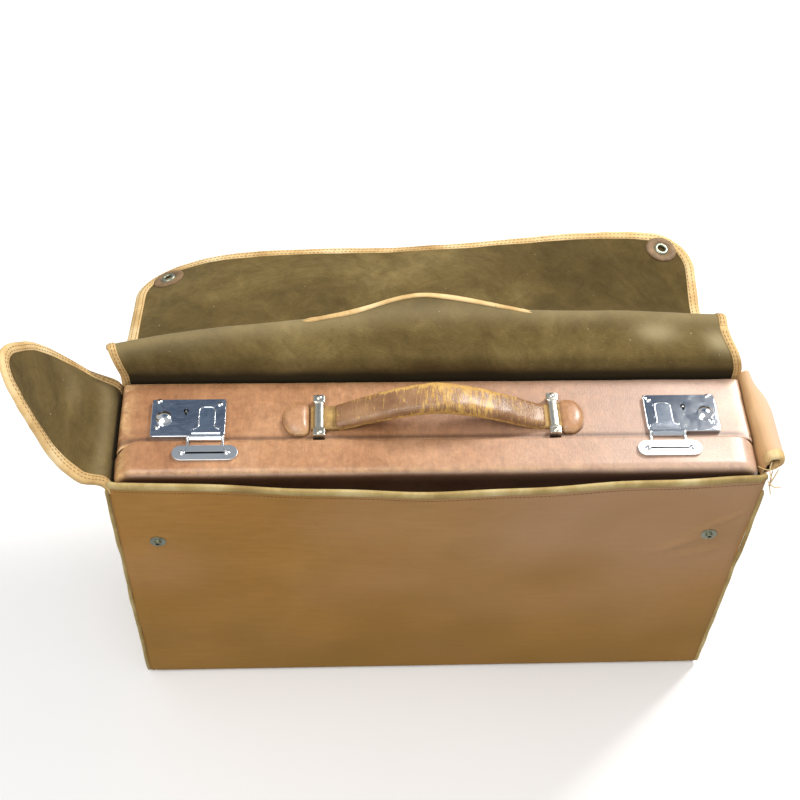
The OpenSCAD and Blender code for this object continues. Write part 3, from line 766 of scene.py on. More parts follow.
def make_lid():
    across = np.linspace(*SLIT, 64)
    share = np.linspace(0, 1, 14)[:, None]
    slit_x = np.repeat(across[None], 14, 0)
    rear_s = LIP_REAR + (rear_lip_edge(across) - LIP_REAR)[None] * share
    front_s = front_lip_edge(across) + (LIP_FRONT - front_lip_edge(across))[None] * share
    fold = lid_rows(LID_START, LIP_REAR)
    crest = lid_rows(LIP_REAR, LIP_FRONT)
    flap = lid_rows(LIP_FRONT, LID_L)
    patches = (
        ("lid_back_fold", lid_point, *between(fold, -lid_half(fold), lid_half(fold), 119), on_back_fold),
        ("lid_flap", lid_point, *between(flap, -lid_half(flap), lid_half(flap), 119), on_flap_fold),
        ("lid_crest_left", lid_point, *between(crest, -lid_half(crest), SLIT[0], 34), on_crest),
        ("lid_crest_right", lid_point, *between(crest, SLIT[1], lid_half(crest), 38), on_crest),
        ("slit_rear_lip", free_lid, rear_s, slit_x, on_rear_lip),
        ("slit_front_lip", lid_point, front_s, slit_x, on_front_lip))
    for name, surf, s, x, finish in patches:
        two_layers(name, surf, s, x, finish, inner=(lid_tint(s, x), lid_dark(s, x)))
    for name, node in (("lid_back_fold", "lid_rear"), ("lid_crest_left", "lid_front"), ("lid_flap", "flap")):
        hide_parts(node + "_canvas")
        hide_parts(node + "_lining")


# ---------------- tape and stitches

# Widths of the tapes, with the stitch rows' distances in from the edge.
SIDE_TAPE, SIDE_ROWS = 5.4, (1.9, 4.3)
FLAP_TAPE, FLAP_ROWS = 7.5, (2.6, 6.2)
TONGUE_TAPE, TONGUE_ROWS = 6.4, (2.1, 4.7)
MOUTH_TAPE, MOUTH_ROWS = 4.4, (7.4,)
SLIT_TAPE = 2.7
ROLL_TAPE = 6.0


def tape_ring(width, thin=1.0):
    """Section of a folded edge tape as (distance in from the edge, height off the cloth's middle)."""
    half = [(width, 1.75), (width - 0.4, 2.15), (width * 0.5, 2.35), (1.2, 2.25), (-0.7, 1.5)]
    outer = half + [(-1.1, 0.0)] + [(d, -h) for d, h in half[::-1]]
    inner = [(width, -1.3), (0.6, -1.1), (0.6, 1.1), (width, 1.3)]
    return [(d, h * thin) for d, h in outer + inner]


def tape(name, surf, path, inward, width, finish, wobble=0.35, thin=1.0, material=None, narrow=0.0):
    """A folded tape sewn over an edge of the cloth; narrow draws its ends to points over that length."""
    section = tape_ring(width, thin)
    run = run_of(path)
    full = np.ones(len(run))
    if narrow:
        full = 0.12 + 0.88 * ease(np.minimum(run, run[-1] - run) / narrow)
    points = []
    for d, h in section:
        sway = wobble * waves(run, 0 * run, 46, 7) * (d > width / 2)
        at = path + inward * ((d + sway) * full)[:, None]
        n = surface_normals(surf, at[:, 0], at[:, 1])
        points.append(surf(at[:, 0], at[:, 1]) + n * (h * (0.4 + 0.6 * full))[:, None])
    points = np.stack(points, 1)
    rows, cols = points.shape[:2]
    field = point_at(np.repeat(run, cols), np.tile([d for d, h in section], rows), 0.0)
    faces = grid(rows, cols, ring=True) + end_caps(rows, cols)
    obj = solid(name, points.reshape(-1, 3), faces, material or TAPE_MAT, "binding", {"cloth": field})
    finish(obj)
    return obj


def stitch_row(heap, surf, path, inward, d, h, pitch):
    """Adds a row of stitches that lie on the cloth, d in from an edge."""
    at = path + inward * d
    n = surface_normals(surf, at[:, 0], at[:, 1])
    line = surf(at[:, 0], at[:, 1]) + n * h
    run = run_of(line)
    for middle in np.arange(pitch, run[-1] - pitch, pitch):
        ends = path_at(line, run, middle + STITCH / 2 * np.array([-1, 0, 1]))
        up = path_at(n * np.sign(h), run, middle)
        side = unit(np.cross(unit(ends[2] - ends[0]), up))
        rings = []
        for centre, size in zip(ends, (TUBE_END, 1.0, TUBE_END)):
            for a in circle(5):
                rings.append(centre + STITCH_R * size * (side * math.cos(a) + up * math.sin(a) * 0.8))
        heap.add(rings, grid(3, 5, ring=True) + end_caps(3, 5, flip=True))


def sew(name, surf, path, inward, rows, finish, height=2.35, pitch=3.4):
    """Stitch rows on both faces of a tape, as one piece."""
    heap = Heap()
    for d in rows:
        for h in (-height, height):
            stitch_row(heap, surf, path, inward, d, h, pitch)
    finish(heap.build(name, THREAD_MAT, "binding", make))


def side_path(lo, hi, sign, count=40):
    """A stretch of the lid's side edge, with the direction into the cloth."""
    s = np.linspace(lo, hi, count)
    return np.stack([s, sign * np.full(count, LID_W)], 1), np.tile([0.0, -sign], (count, 1))


def flap_path():
    """The edge of the lid from the slit round the drop flap and back."""
    s = np.linspace(LIP_FRONT, LID_L - FLAP_R, 50)
    left = np.stack([s, np.full(50, -LID_W)], 1)
    angle = np.linspace(0, math.pi / 2, 16)[1:-1]
    half = LID_W - FLAP_R
    corner = np.stack([LID_L - FLAP_R + FLAP_R * np.sin(angle), -half - FLAP_R * np.cos(angle)], 1)
    far = np.stack([np.full(96, LID_L), np.linspace(-half, half, 96)], 1)
    flip = np.array([1, -1])
    path = np.concatenate([left, corner, far, corner[::-1] * flip, left[::-1] * flip])
    return path, left_of(path)


def lip_path(edge):
    x = np.linspace(SLIT[0] + 1, SLIT[1] - 1, 60)
    return np.stack([edge(np.clip(x, *SLIT)), x], 1)


def make_lid_tapes():
    stretches = (("back", -22, LIP_REAR, on_back_fold),
                 ("crest", LIP_REAR, LIP_FRONT, on_crest))
    lips = (("rear", free_lid, rear_lip_edge, -1.0, on_rear_lip),
            ("front", lid_point, front_lip_edge, 1.0, on_front_lip))
    for sign, side in WORD.items():
        for place, lo, hi, finish in stretches:
            path, inward = side_path(lo, hi, sign)
            tape(f"lid_tape_{place}_{side}", lid_point, path, inward, SIDE_TAPE, finish)
            sew(f"lid_stitch_{place}_{side}", lid_point, path, inward, SIDE_ROWS, finish)
    path, inward = flap_path()
    flap = tape("flap_tape", lid_point, path, inward, FLAP_TAPE, on_flap_fold)
    sew("flap_stitches", lid_point, path, inward, FLAP_ROWS, on_flap_fold)
    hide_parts("flap_binding")
    for place, surf, edge, way, finish in lips:
        path = lip_path(edge)
        inward = np.tile([way, 0], (len(path), 1))
        lip = tape("slit_tape_" + place, surf, path, inward, SLIT_TAPE, finish, 0.4, narrow=16.0)
        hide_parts("lid_" + place + "_binding")


# ---------------- left tongue

TONGUE_L = 101.5
TONGUE_START = -28.0


def tongue_point(t, y):
    """A point of the left tongue, t out from its fold."""
    t, y = np.broadcast_arrays(np.asarray(t, float), np.asarray(y, float))
    begin = -40.0
    near = np.clip((y + HALF_END) / (2 * HALF_END), -0.2, 1.2)

    def slope(at):
        return (90 - (40 - 2 * near) * turn(at, near - 16, 8) + (20 - 15 * near) * turn(at, 30, 22)
                - (4 - 5 * near) * turn(at, 80, 25))

    out, up = hang(begin, t, 90, slope)
    free = ease((t - TONGUE_START) / 20)
    flare = 11 * np.clip((y - 12) / 35, 0, 1.3) ** 2 * ease((t + 16) / 20)
    tuck = corner_in(y, *SHORT_CORNER) * (1 - free)
    dimple = 1.1 * waves(t, y, 52, 9) * ease(t / 30) + 0.5 * waves(t, y, 21, 4) * ease(t / 20)
    crease = -1.6 * bell(t, 12, 5) * bell(y, -33, 9)
    crease += 1.3 * bell(t, 4, 4) * bell(y, -36 - 0.5 * t, 6)
    x = TONGUE_FOLD[0] - out - flare + tuck - (dimple + crease) * 0.7
    y = y - 8.0 * ease((t + 14) / 24) * np.clip(-y / HALF_END, 0, 1)
    return np.stack([x, y, TONGUE_FOLD[2] + begin + up + (dimple + crease) * 0.6], -1)


def tongue_edges(t):
    """Front and back edge of the leaf-shaped tongue at t."""
    share = np.clip(t / TONGUE_L, 0, 1)
    half = HALF_END * np.maximum(1 - share ** 1.6, 0) ** 0.52
    middle = -6 * (np.clip(t, 0, None) / 80) ** 2
    return middle - half, middle + half


def on_tongue_fold(obj):
    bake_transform(obj)


def make_tongue():
    share = np.linspace(0, 1, 46)[1:]
    rows = np.concatenate([np.linspace(TONGUE_START, 0, 15), TONGUE_L * (1 - (1 - share) ** 1.7)])
    rows[-1] -= 0.05
    front, back = tongue_edges(rows)
    t, y = between(rows, front, back, 33)
    rub = 0.16 * bell(t, -6, 6) + 0.12 * bell(t, 27, 9) * bell(y, 14, 14)
    # painted shade: the moleskin turns near black down inside the cover, under the fold
    painted_shade = np.clip(0.95 * (1 - ease((t + 22) / 10)), 0, 1)
    cloth = two_layers("tongue", tongue_point, t, y, on_tongue_fold, inner=(rub, painted_shade))
    bound = slice(3, None)             # the tape starts a few rows up
    edge = [np.stack([rows, side], 1)[bound] for side in (front, back)]
    path = evenly(np.concatenate([edge[0], edge[1][::-1]]), 120)
    for _ in range(3):
        path[1:-1] = (path[:-2] + 2 * path[1:-1] + path[2:]) / 4
    inward = left_of(path)
    edging = tape("tongue_tape", tongue_point, path, inward, TONGUE_TAPE, on_tongue_fold)
    sew("tongue_stitches", tongue_point, path, inward, TONGUE_ROWS, on_tongue_fold)
    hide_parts("left_tongue_canvas")
    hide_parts("left_tongue_lining")
    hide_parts("left_tongue_binding")


# ---------------- walls of the cover

IN_Y = COVER_Y - WALL / 2          # middle of the front and back walls
IN_X = COVER_X - WALL / 2


def foot(z):
    """How far a wall is drawn in where it rounds under to the bottom."""
    height, depth = FOOT
    return depth * np.clip(1 - z / height, 0, 1) ** 2


def front_point(z, b):
    x = -b
    middle = np.cos(np.clip(np.abs(x) / COVER_X, 0, 1) * math.pi / 2) ** 2
    bulge = 9.5 * middle * np.clip(z / MOUTH, 0, 1.1) ** 1.6
    drag = 0.9 * waves(z + 0.5 * x, x, 120, 2) * ease(z / 60)
    crease = 1.5 * bell(z, 196 + 0.55 * (x - 190), 5) * bell(x, 190, 22)
    crease += 1.2 * bell(z, 222 + 0.8 * (x - 212), 4) * bell(x, 214, 14)
    crease += 0.9 * bell(z, 180 + 0.3 * (x - 200), 5) * bell(x, 204, 20)
    away = 1 - bell(np.abs(x), 207, 9) * bell(z, 207, 9)
    y = -IN_Y - bulge + corner_in(x, *LONG_CORNER) + foot(z) + (-drag - crease) * away
    return point_at(x, y, z)


def back_point(z, b):
    sag = 1.6 * waves(z, b, 130, 4) * ease(z / 50) * ease((262 - z) / 40)
    return point_at(b, IN_Y - corner_in(b, *LONG_CORNER) - foot(z) + sag, z)


def side_point(sign, z, b):
    y = -sign * b
    top = TONGUE_FOLD[2] + TONGUE_START
    bulge = 2.2 * np.cos(np.clip(np.abs(y) / HALF_END, 0, 1) * math.pi / 2) ** 2
    bulge = bulge * np.sin(np.clip(z / top, 0, 1) * math.pi) + 0.5 * waves(z, y, 60, 6) * ease((top - z) / 30)
    x = sign * (IN_X - corner_in(y, *SHORT_CORNER) - foot(z) + bulge)
    return point_at(x, y, z)


def left_point(z, b):
    return side_point(-1, z, b)


def right_point(z, b):
    return side_point(1, z, b)


def bottom_point(y, x):
    return point_at(x, y, 1.5)


def on_cover(obj):
    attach(obj, "cover")


def on_front(obj):
    """Rides on the cover, with a mesh of its own."""
    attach(obj, "cover")
    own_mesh(obj)


def wall(side, surf, z, b, finish=on_cover):
    a, c = np.meshgrid(z, b, indexing="ij")
    rosy = 0.72 * ease((160 - c) / 330) * ease((a - 20) / 200) + 0.12 * waves(a, c, 150, 15)
    olive = 0.55 * (1 - ease(a / 190)) + 0.18 * waves(a, c, 110, 19)
    outer = (np.clip(rosy, 0, 1), np.clip(olive, 0, 1))
    # the moleskin of every wall is painted near black all over: painted shade inside the cover
    canvas, lining = two_layers("cover_" + side, surf, a, c, finish, outer, (0, 0.95), word="panel")
    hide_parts("cover_" + side + "_canvas")
    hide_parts("cover_" + side + "_lining")


def make_walls():
    foot_rows = np.array([0.8, 1.6, 2.6, 3.8, 5.2, 7.0])
    length = 235.6
    for side, surf, top, rows, half, count, finish in (
            ("front", front_point, MOUTH - 1, 56, length, 110, on_front),
            ("back", back_point, BACK_FOLD[2] + LID_START, 50, length, 100, on_cover),
            ("left", left_point, TONGUE_FOLD[2] + TONGUE_START, 50, HALF_END, 30, on_cover),
            ("right", right_point, RIGHT_TOP, 48, HALF_END, 30, on_cover)):
        z = np.concatenate([foot_rows, np.linspace(10, top, rows)])
        wall(side, surf, z, np.linspace(-half, half, count), finish)
    y, x = IN_Y - 2.2, IN_X - 2.2
    wall("bottom", bottom_point, np.linspace(-y, y, 24), np.linspace(-x, x, 80))
    path = np.stack([np.full(130, MOUTH - 0.5), np.linspace(-235.8, 235.8, 130)], 1)
    inward = np.tile([-1.0, 0.0], (130, 1))
    edging = tape("mouth_tape", front_point, path, inward, MOUTH_TAPE, on_front, 0.25, 0.86, PIPING_MAT)
    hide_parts("mouth_binding")
    sew("mouth_stitches", front_point, path, inward, MOUTH_ROWS, on_front, 1.6, 3.0)


def make_seams():
    """Bound seam allowances that stand out at the four upright corners."""
    heap = Heap()
    for sx in (-1, 1):
        for sy in (-1, 1):
            top = MOUTH - 4 if sx * sy > 0 or sx < 0 else RIGHT_TOP
            z = np.linspace(0.6, top, 70)
            sway = 0.35 * waves(z, 0 * z, 55, sx + 2 * sy + 5)
            x = sx * (COVER_X - 0.4 - foot(z) * 0.7 + sway)
            y = sy * (COVER_Y - 1.2 - foot(z) * 0.7 + sway)
            points, faces = tube(np.stack([x, y, z], 1), 0.95, 10, across=(sx, sy * 0.8, 0), flat=1.7)
            heap.add(points, faces)
    piping = heap.build("seam_piping", PIPING_MAT, "binding")
    on_cover(piping)
    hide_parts("seam_bindings")


# ---------------- rolled right tongue

ROLL_BACK = 45.5
ROLL_FRONT = -37.0
ROLL_TURNS = (-62, -25, 12, 50, 88, 126, 162, 190)     # places round the roll, degrees


def roll_point(a, b):
    """The rolled-over tongue: a runs up the wall, over the roll and down inside, b is -y."""
    a, b = np.broadcast_arrays(np.asarray(a, float), np.asarray(b, float))
    y = -b
    along_roll = (-42, -36, -21, -4, 8, 22, 34, 50)
    r = through(y, along_roll, (5, 5.5, 6.5, 7, 7, 5.5, 3.5, 2))
    xc = through(y, along_roll, (243, 242.5, 241.5, 241, 240.5, 239, 237, 235))
    zc = TOP + 1.5
    k = np.clip(a / 12.0, -0.5, 11.5)
    round_x = [xc + r * c for c in np.cos(np.radians(ROLL_TURNS))]
    round_z = [zc + r * s for s in np.sin(np.radians(ROLL_TURNS))]
    xs = np.stack(np.broadcast_arrays(IN_X, IN_X + 0.6, *round_x, xc - r - 0.2, 232.9))
    zs = np.stack(np.broadcast_arrays(258.0, 266.0, *round_z, zc - 10, 229.0))
    i = np.clip(np.floor(k).astype(int), 0, len(xs) - 2)
    t = k - i

    def spline(v):
        def pick(j):
            return np.take_along_axis(v, np.clip(j, 0, len(v) - 1)[None], 0)[0]
        p0, p1, p2, p3 = pick(i - 1), pick(i), pick(i + 1), pick(i + 2)
        return 0.5 * (2 * p1 + (p2 - p0) * t + (2 * p0 - 5 * p1 + 4 * p2 - p3) * t ** 2
                      + (3 * p1 - p0 - 3 * p2 + p3) * t ** 3)

    swell = 0.5 * waves(a * 0.5, y, 34, 8)
    return np.stack([spline(xs) + swell, y, spline(zs) + swell * 0.5], -1)


def make_roll():
    a = np.linspace(6.3, 131, 74)
    b = np.linspace(-ROLL_BACK, -ROLL_FRONT, 34)
    a, b = np.meshgrid(a, b, indexing="ij")
    bleach = np.clip(0.2 + 0.5 * bell(a, 50, 30), 0, 1)
    # the roll's moleskin is painted dark: painted shade in the gap beside the case
    canvas, lining = two_layers("right_roll", roll_point, a, b, on_cover, (bleach, 0), (0, 0.8),
                                cuts=(-1.2, -0.1, 1.4), material=ROLL_MAT)
    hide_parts("right_tongue_canvas")
    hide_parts("right_tongue_lining")
    path = np.stack([np.linspace(20, 112, 60), np.full(60, -ROLL_FRONT)], 1)
    tape("right_roll_tape", roll_point, path, np.tile([0.0, -1.0], (60, 1)), ROLL_TAPE, on_cover, 0.6, 0.9)
    heap = Heap()
    threads = (((246, -38, 277), (237, -45, 279), (228, -43.5, 286)),
               ((243, -38, 273), (238, -48, 270), (241, -52, 262)),
               ((247, -38, 275), (241, -46, 268), (237, -51, 272)),
               ((240, -38, 284), (236, -44, 281), (239, -50, 277)),
               ((236, -49, 276), (240, -53, 270), (246, -53, 273)))
    t = np.linspace(0, 1, 14)[:, None]
    for one, two, three in np.array(threads, float):
        path = (1 - t) ** 2 * one + 2 * t * (1 - t) * two + t * t * three
        heap.add(*tube(path, 0.42, 6))
    on_cover(heap.build("frayed_threads", TAPE_MAT, "binding"))


# ---------------- case

def rounded_ring(hx, z0, z1, r, inset):
    """Points of a rounded rectangle in the front view, drawn in by inset."""
    hx = hx - inset
    z0 = z0 + inset
    z1 = z1 - inset
    r = max(r - inset, 0.8)
    ring = []
    corners = ((hx - r, z1 - r, 0), (-hx + r, z1 - r, 90), (-hx + r, z0 + r, 180), (hx - r, z0 + r, 270))
    spans = (72, 40, 72, 40)
    for k, (cx, cz, start) in enumerate(corners):
        for a in np.linspace(start, start + 90, 10):
            ring.append((cx + r * math.cos(math.radians(a)), cz + r * math.sin(math.radians(a))))
        nx, nz, begin = corners[(k + 1) % 4]
        end = (nx + r * math.cos(math.radians(begin)), nz + r * math.sin(math.radians(begin)))
        last = ring[-1]
        for t in np.linspace(0, 1, spans[k] + 1)[1:-1]:
            ring.append((last[0] + (end[0] - last[0]) * t, last[1] + (end[1] - last[1]) * t))
    return np.array(ring)


def forward(x, y, parting):
    """The rims curve forward at the ends of the case."""
    near = bell(y, parting, 7)
    left = 7.5 * np.clip((-x - 211) / 20, 0, 1) ** 2
    right = 3.5 * np.clip((x - 213) / 18, 0, 1) ** 2
    return (left + right) * near


def slab(name, hx, z0, z1, r, profile, dents):
    """A rounded leather-covered tray, from (y, inset, rubbed, painted shade) rings."""
    rings, edge, dark, painted_sheen = [], [], [], []
    for y, inset, rubbed, painted_shade in profile:
        ring = rounded_ring(hx, z0, z1, r, inset)
        swell = dents * waves(ring[:, 0], ring[:, 1] + y * 2, 90, 11)
        at_y = y - forward(ring[:, 0], y, case_low[1])
        rings.append(np.stack([ring[:, 0], at_y, ring[:, 1] + swell], 1))
        near = hx - np.abs(ring[:, 0])
        corner = bell(near, 4, 5.0) * bell(ring[:, 1], z1 - 4, 9)
        edge.append(np.clip(rubbed + 0.75 * corner, 0, 1))
        # painted shade: the faces under the top edge are darkened, where the cover shades them
        below = 0.42 * ease((z1 - 10 - ring[:, 1]) / 16)
        dark.append(np.maximum(painted_shade, below))
        # painted sheen: the top turns a paler pink-grey towards the right, standing in for the gloss
        # highlight
        painted_sheen.append(0.25 * ease((ring[:, 0] + 70) / 290) * ease((ring[:, 1] - z1 + 40) / 30))
    rows, cols = len(rings), len(rings[0])
    faces = grid(rows, cols, ring=True) + end_caps(rows, cols)
    fields = {"edge": edge, "dark": dark, "tint": painted_sheen}
    fields = {key: np.concatenate(values) for key, values in fields.items()}
    obj = solid(name, np.concatenate(rings), faces, CASE_MAT, "case_leather", fields)
    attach(obj, "case")
    return obj


def fillet(y, way, radius, count=8, rub=0.8, painted_shade=0.0):
    """Rings of a round edge that ends at y; way is the direction towards the edge."""
    rings = []
    for a in np.linspace(0, math.pi / 2, count):
        rubbed = rub * float(bell(a, 0.75, 0.33))
        drop = radius * (1 - math.sin(a))
        # painted shade darkens the rings towards the end face
        shade_strength = painted_shade * float(ease((a - 0.55) / 0.85))
        rings.append((y - way * drop, radius * (1 - math.cos(a)), rubbed, shade_strength))
    return rings


def make_case():
    back, parting = case_high[1], case_low[1]
    # strength of the painted shade at the parting line and down the lid's front face
    shade_strength = 0.9
    flat = []
    for y in np.linspace(parting + 3, parting + 9, 7):
        # painted shadow: a dark line on the body's top just behind the lid's edge
        flat.append((y, 0.0, 0.0, 0.6 * float(ease((parting + 7.0 - y) / 3.5))))
    flat += [(y, 0.0, 0.0, 0.0) for y in np.linspace(parting + 12, back - 7, 12)]
    near = [(back - 5, 0.0, 0.0, 0.0), (back - 4, 0.0, 0.1, 0.0)]
    body_edge = fillet(parting + 0.1, -1, 1.4, 5, rub=0.2, painted_shade=shade_strength)[::-1]
    profile = body_edge + flat + near + fillet(back, 1, 2.6, rub=0.9)
    body = slab("case_body_hide", case_high[0] + 2.4, case_low[2], case_high[2], 4.0, profile, 0.25)
    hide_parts("case_body_shell")
    rear, front = lid_high[1], lid_low[1]
    crown = []
    for y in np.linspace(rear - 3, rear - 22, 10):
        crown.append((y, 0.7 * ((rear - 3 - y) / 20) ** 2, 0.0, 0.0))
    lead = crown[-1][1]
    roll = [(y, inset + lead, *rest) for y, inset, *rest in fillet(front, -1, 7.0, 14, 0.45, shade_strength)]
    y, inset = roll[-1][:2]
    # painted shade over the lid's front face, in the gap inside the cover
    face = [(y, inset + d, 0.0, painted_shade) for d, painted_shade in ((6, 0.88), (12, 0.80), (20, 0.55), (34, 0.2))]
    profile = fillet(rear, 1, 2.2, 6, rub=0.25, painted_shade=shade_strength)[::-1] + crown + roll + face
    lid = slab("case_lid_hide", lid_high[0] + 2.5, lid_low[2], lid_high[2], 16.0, profile, 0.35)
    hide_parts("case_lid_shell")


# ---------------- handle

grip_low, grip_high = box_mm("handle_grip")
HANDLE_Y = (grip_low[1] + grip_high[1]) / 2
HANDLE_TOP = grip_high[2] - 5.5    # centre line at the middle
STRAP_Z = TOP + 2.2                # centre of the strap where it lies flat
WRAP_END = {-1: 73.0, 1: 79.0}
STRAP_END = 92.0
DOME_INNER = {-1: -92.8, 1: 90.4}
KEEPER_X = 86.0
KEYHOLE = (183, 12.95)
KEYHOLE_HALF = (1.85, 2.9)


def handle_height(x):
    """Height of the handle's centre line above the strap's flat ends."""
    share = np.cos(np.clip(np.abs(x) / 76, 0, 1) * math.pi / 2)
    return (HANDLE_TOP - STRAP_Z) * share ** 1.25 * (1 - 0.05 * np.sin(np.abs(x) / 60 * math.pi))


def handle_piece(name, x, width, thick, power, material, finish, lump, close):
    """A stretch of the handle: a flattened round section along its centre line."""
    sides = 28
    z = STRAP_Z + handle_height(x)
    path = np.stack([x, np.full(len(x), HANDLE_Y), z], 1)
    rise_rate = (handle_height(x + 0.5) - handle_height(x - 0.5))
    up = unit(np.stack([-rise_rate, np.zeros(len(x)), np.ones(len(x))], 1))
    c, s = np.cos(circle(sides)), np.sin(circle(sides))
    across = np.sign(c) * np.abs(c) ** power
    rise = np.sign(s) * np.abs(s) ** power
    points = []
    edge = []
    for k in range(len(x)):
        bump = lump * waves(np.full(sides, x[k]), across * 9, 17, 13)
        half_w = width[k] / 2 + bump * 0.6
        half_t = thick[k] / 2 + bump * 0.5
        ring = across[:, None] * half_w[:, None] * (0, 1, 0) + up[k] * (rise * half_t)[:, None]
        points.append(path[k] + ring)
        far = ease((across - 0.35) / 0.6) * ease((rise + 0.4) / 0.6)
        under = bell(rise, -0.55, 0.22) * (across < 0)
        middle = 0.28 * float(bell(x[k], 16, 30))
        edge.append(np.clip(0.62 * far * math.exp(-(x[k] / 55) ** 4) + 0.7 * under + middle, 0, 1))
    caps = dict(zip(("start", "end"), end_caps(len(x), sides)))
    faces = grid(len(x), sides, ring=True) + [caps[word] for word in close]
    fields = {"edge": np.concatenate(edge)}
    obj = solid(name, np.concatenate(points), faces, material, "handle_leather", fields)
    finish(obj)
    return obj


def dome(side):
    """The domed leather end that covers the strap's riveted end."""
    low, high = box_mm(WORD[side] + "_strap_end")
    inner = DOME_INNER[side]
    outer = low[0] if side < 0 else high[0] - 4.0
    reach = abs(outer - inner)
    half_y = (high[1] - low[1]) / 2
    y_mid = (high[1] + low[1]) / 2
    base = TOP + 0.25
    tall = high[2] - TOP + 0.9
    sides, rings = 56, 14
    points = [(inner + side * reach * 0.42, y_mid, base + tall)]
    edge = [0.0]
    for r in np.linspace(0, 1, rings + 1)[1:]:
        for a in circle(sides):
            c, s = math.cos(a), math.sin(a)
            if c >= 0:
                far, wide = reach * 0.58, 2.0
            else:
                far, wide = reach * 0.42, 5.0
            d = (abs(c) ** wide + abs(s) ** wide) ** (-1 / wide)
            x = inner + side * (reach * 0.42 + far * d * c * r)
            height = tall * max(1 - r ** 3.0, 0) ** 0.5
            points.append((x, y_mid + half_y * d * s * r, base + height))
            edge.append(0.9 * r ** 8)
    faces = [(0, 1 + k, 1 + (k + 1) % sides) for k in range(sides)]
    faces += grid(rings, sides, start=1, ring=True)
    faces.append(tuple(1 + (rings - 1) * sides + k for k in range(sides))[::-1])
    obj = solid(WORD[side] + "_strap_dome", points, faces, CASE_MAT, "handle_leather", {"edge": edge})
    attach(obj, WORD[side] + "_strap_end")
    return obj


def make_handle():
    for side, word in WORD.items():
        def on_grip(obj):
            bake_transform(obj)

        def on_end(obj):
            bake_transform(obj)

        x = side * np.linspace(0, WRAP_END[side], 58)
        share = np.abs(x) / WRAP_END[side]
        width = 23.5 - 3.0 * share ** 1.6
        thick = 12.0 - 3.6 * share ** 1.8
        thick[-1] -= 0.8
        width[-1] -= 0.8
        wrap = handle_piece("grip_wrap_" + word, x, width, thick, 0.52, HANDLE_MAT, on_grip, 0.35, ("end",))
        x = side * np.linspace(WRAP_END[side] - 4, STRAP_END, 24)
        width, thick = np.full(24, 21.0), np.full(24, 3.3)
        handle_piece("grip_strap_" + word, x, width, thick, 0.28, STRAP_MAT, on_end, 0.1, ("start", "end"))
        cap = dome(side)
        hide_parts("handle_grip", word + "_shoulder")
        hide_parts(word + "_strap_end")


def make_keepers():
    """Riveted brackets that hold the strap: two feet and a half-round bar."""
    low, high = box_mm("handle_keepers")
    heap = Heap()
    y = np.concatenate([np.linspace(low[1], low[1] + 6.2, 6), np.linspace(low[1] + 6.9, high[1] - 6.9, 22),
                        np.linspace(high[1] - 6.2, high[1], 6)])
    for side in (-1, 1):
        rows = []
        for at in y:
            from_end = min(at - low[1], high[1] - at)
            bar = float(ease((from_end - 6.0) / 1.2))
            half = 4.25 - 1.0 * bar
            crown = 0.5 + 1.1 * bar
            top = high[2] - 0.7 * bar + 0.35 * bar * math.sin(math.pi * (at - low[1]) / (high[1] - low[1]))
            bottom = TOP + 0.02 if from_end < 3.0 else high[2] - 2.6
            section = []
            for t in np.linspace(0, math.pi, 11):
                rise = crown * math.sin(t) ** 0.6
                section.append((side * KEEPER_X + half * math.cos(t), at, top - crown + rise))
            section.append((side * KEEPER_X - half, at, bottom))
            section.append((side * KEEPER_X + half, at, bottom))
            rows.append(section)
        points = np.array(rows).reshape(-1, 3)
        cols = len(rows[0])
        heap.add(points, grid(len(rows), cols, ring=True) + end_caps(len(rows), cols))
    obj = heap.build("keeper_bars", NICKEL_MAT, "nickel")
    crisp(obj, 0.25)
    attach(obj, "case")
    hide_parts("handle_keepers")


# ---------------- metal of the frame

def crisp(obj, width, angle=35):
    """Small round edges that catch the light."""
    weld = obj.modifiers.new("weld", "WELD")
    weld.merge_threshold = 0.00001
    bevel = obj.modifiers.new("edges", "BEVEL")
    bevel.width = width * MM
    bevel.segments = 2
    bevel.limit_method = "ANGLE"
    bevel.angle_limit = math.radians(angle)
    bevel.harden_normals = False
    for face in obj.data.polygons:
        face.use_smooth = True
    smooth = obj.modifiers.new("normals", "WEIGHTED_NORMAL")
    smooth.keep_sharp = False


METALS = {
    "chrome": (CHROME_MAT, ("left_lock_plate", "right_lock_plate", "left_lock_knob", "right_lock_knob",
                            "lock_rivets", "hasp_screws")),
    "hasp": (HASP_MAT, ("left_hasp", "right_hasp")),
    "plate": (SATIN_MAT, ("hasp_bases",)),
    "nickel": (NICKEL_MAT, ("keeper_rivets",)),
    "steel": (STEEL_MAT, ("body_hinge_leaves", "lid_hinge_leaves", "case_hinge_pins", "hasp_pins",
                          "lock_key_posts", "lock_springs", "left_lock_bolt", "right_lock_bolt")),
    "brass": (BRASS_MAT, ("snap_studs",)),
}
EDGES = {"left_lock_plate": 0.9, "right_lock_plate": 0.9, "hasp_bases": 0.7, "left_hasp": 0.5,
         "right_hasp": 0.5}


def give(obj, material):
    """One material over the whole of a CAD node."""
    obj.data.materials.clear()
    obj.data.materials.append(material)
    for face in obj.data.polygons:
        face.material_index = 0


def finish_metal():
    for slot, (material, nodes) in METALS.items():
        for name in nodes:
            obj = frame["nodes"][name]
            give(obj, material)
            crisp(obj, EDGES.get(name, 0.12))
    for name in ("case_body_lining", "case_lid_lining"):
        give(frame["nodes"][name], CASE_LINING_MAT)


def rim(name, outline, z, radius, body):
    """A raised bright edge along an outline in the plan view."""
    path = evenly(np.array([(x, y, z) for x, y in outline], float), 90)
    heap = Heap()
    heap.add(*tube(path, radius))
    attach(heap.build(name, CHROME_MAT, "chrome"), body)


HASP_Z = 283.9                     # top face of the hasps
HASP_OUTLINE = ((157.9, -3.6), (159.0, -3.2), (161.2, -1.8), (161.7, 0.0), (161.7, 13.4), (162.6, 15.7),
                (164.8, 16.8), (170.2, 16.8), (172.4, 15.7), (173.3, 13.4), (173.3, 0.0), (173.8, -1.8),
                (176.0, -3.2), (177.1, -3.6))


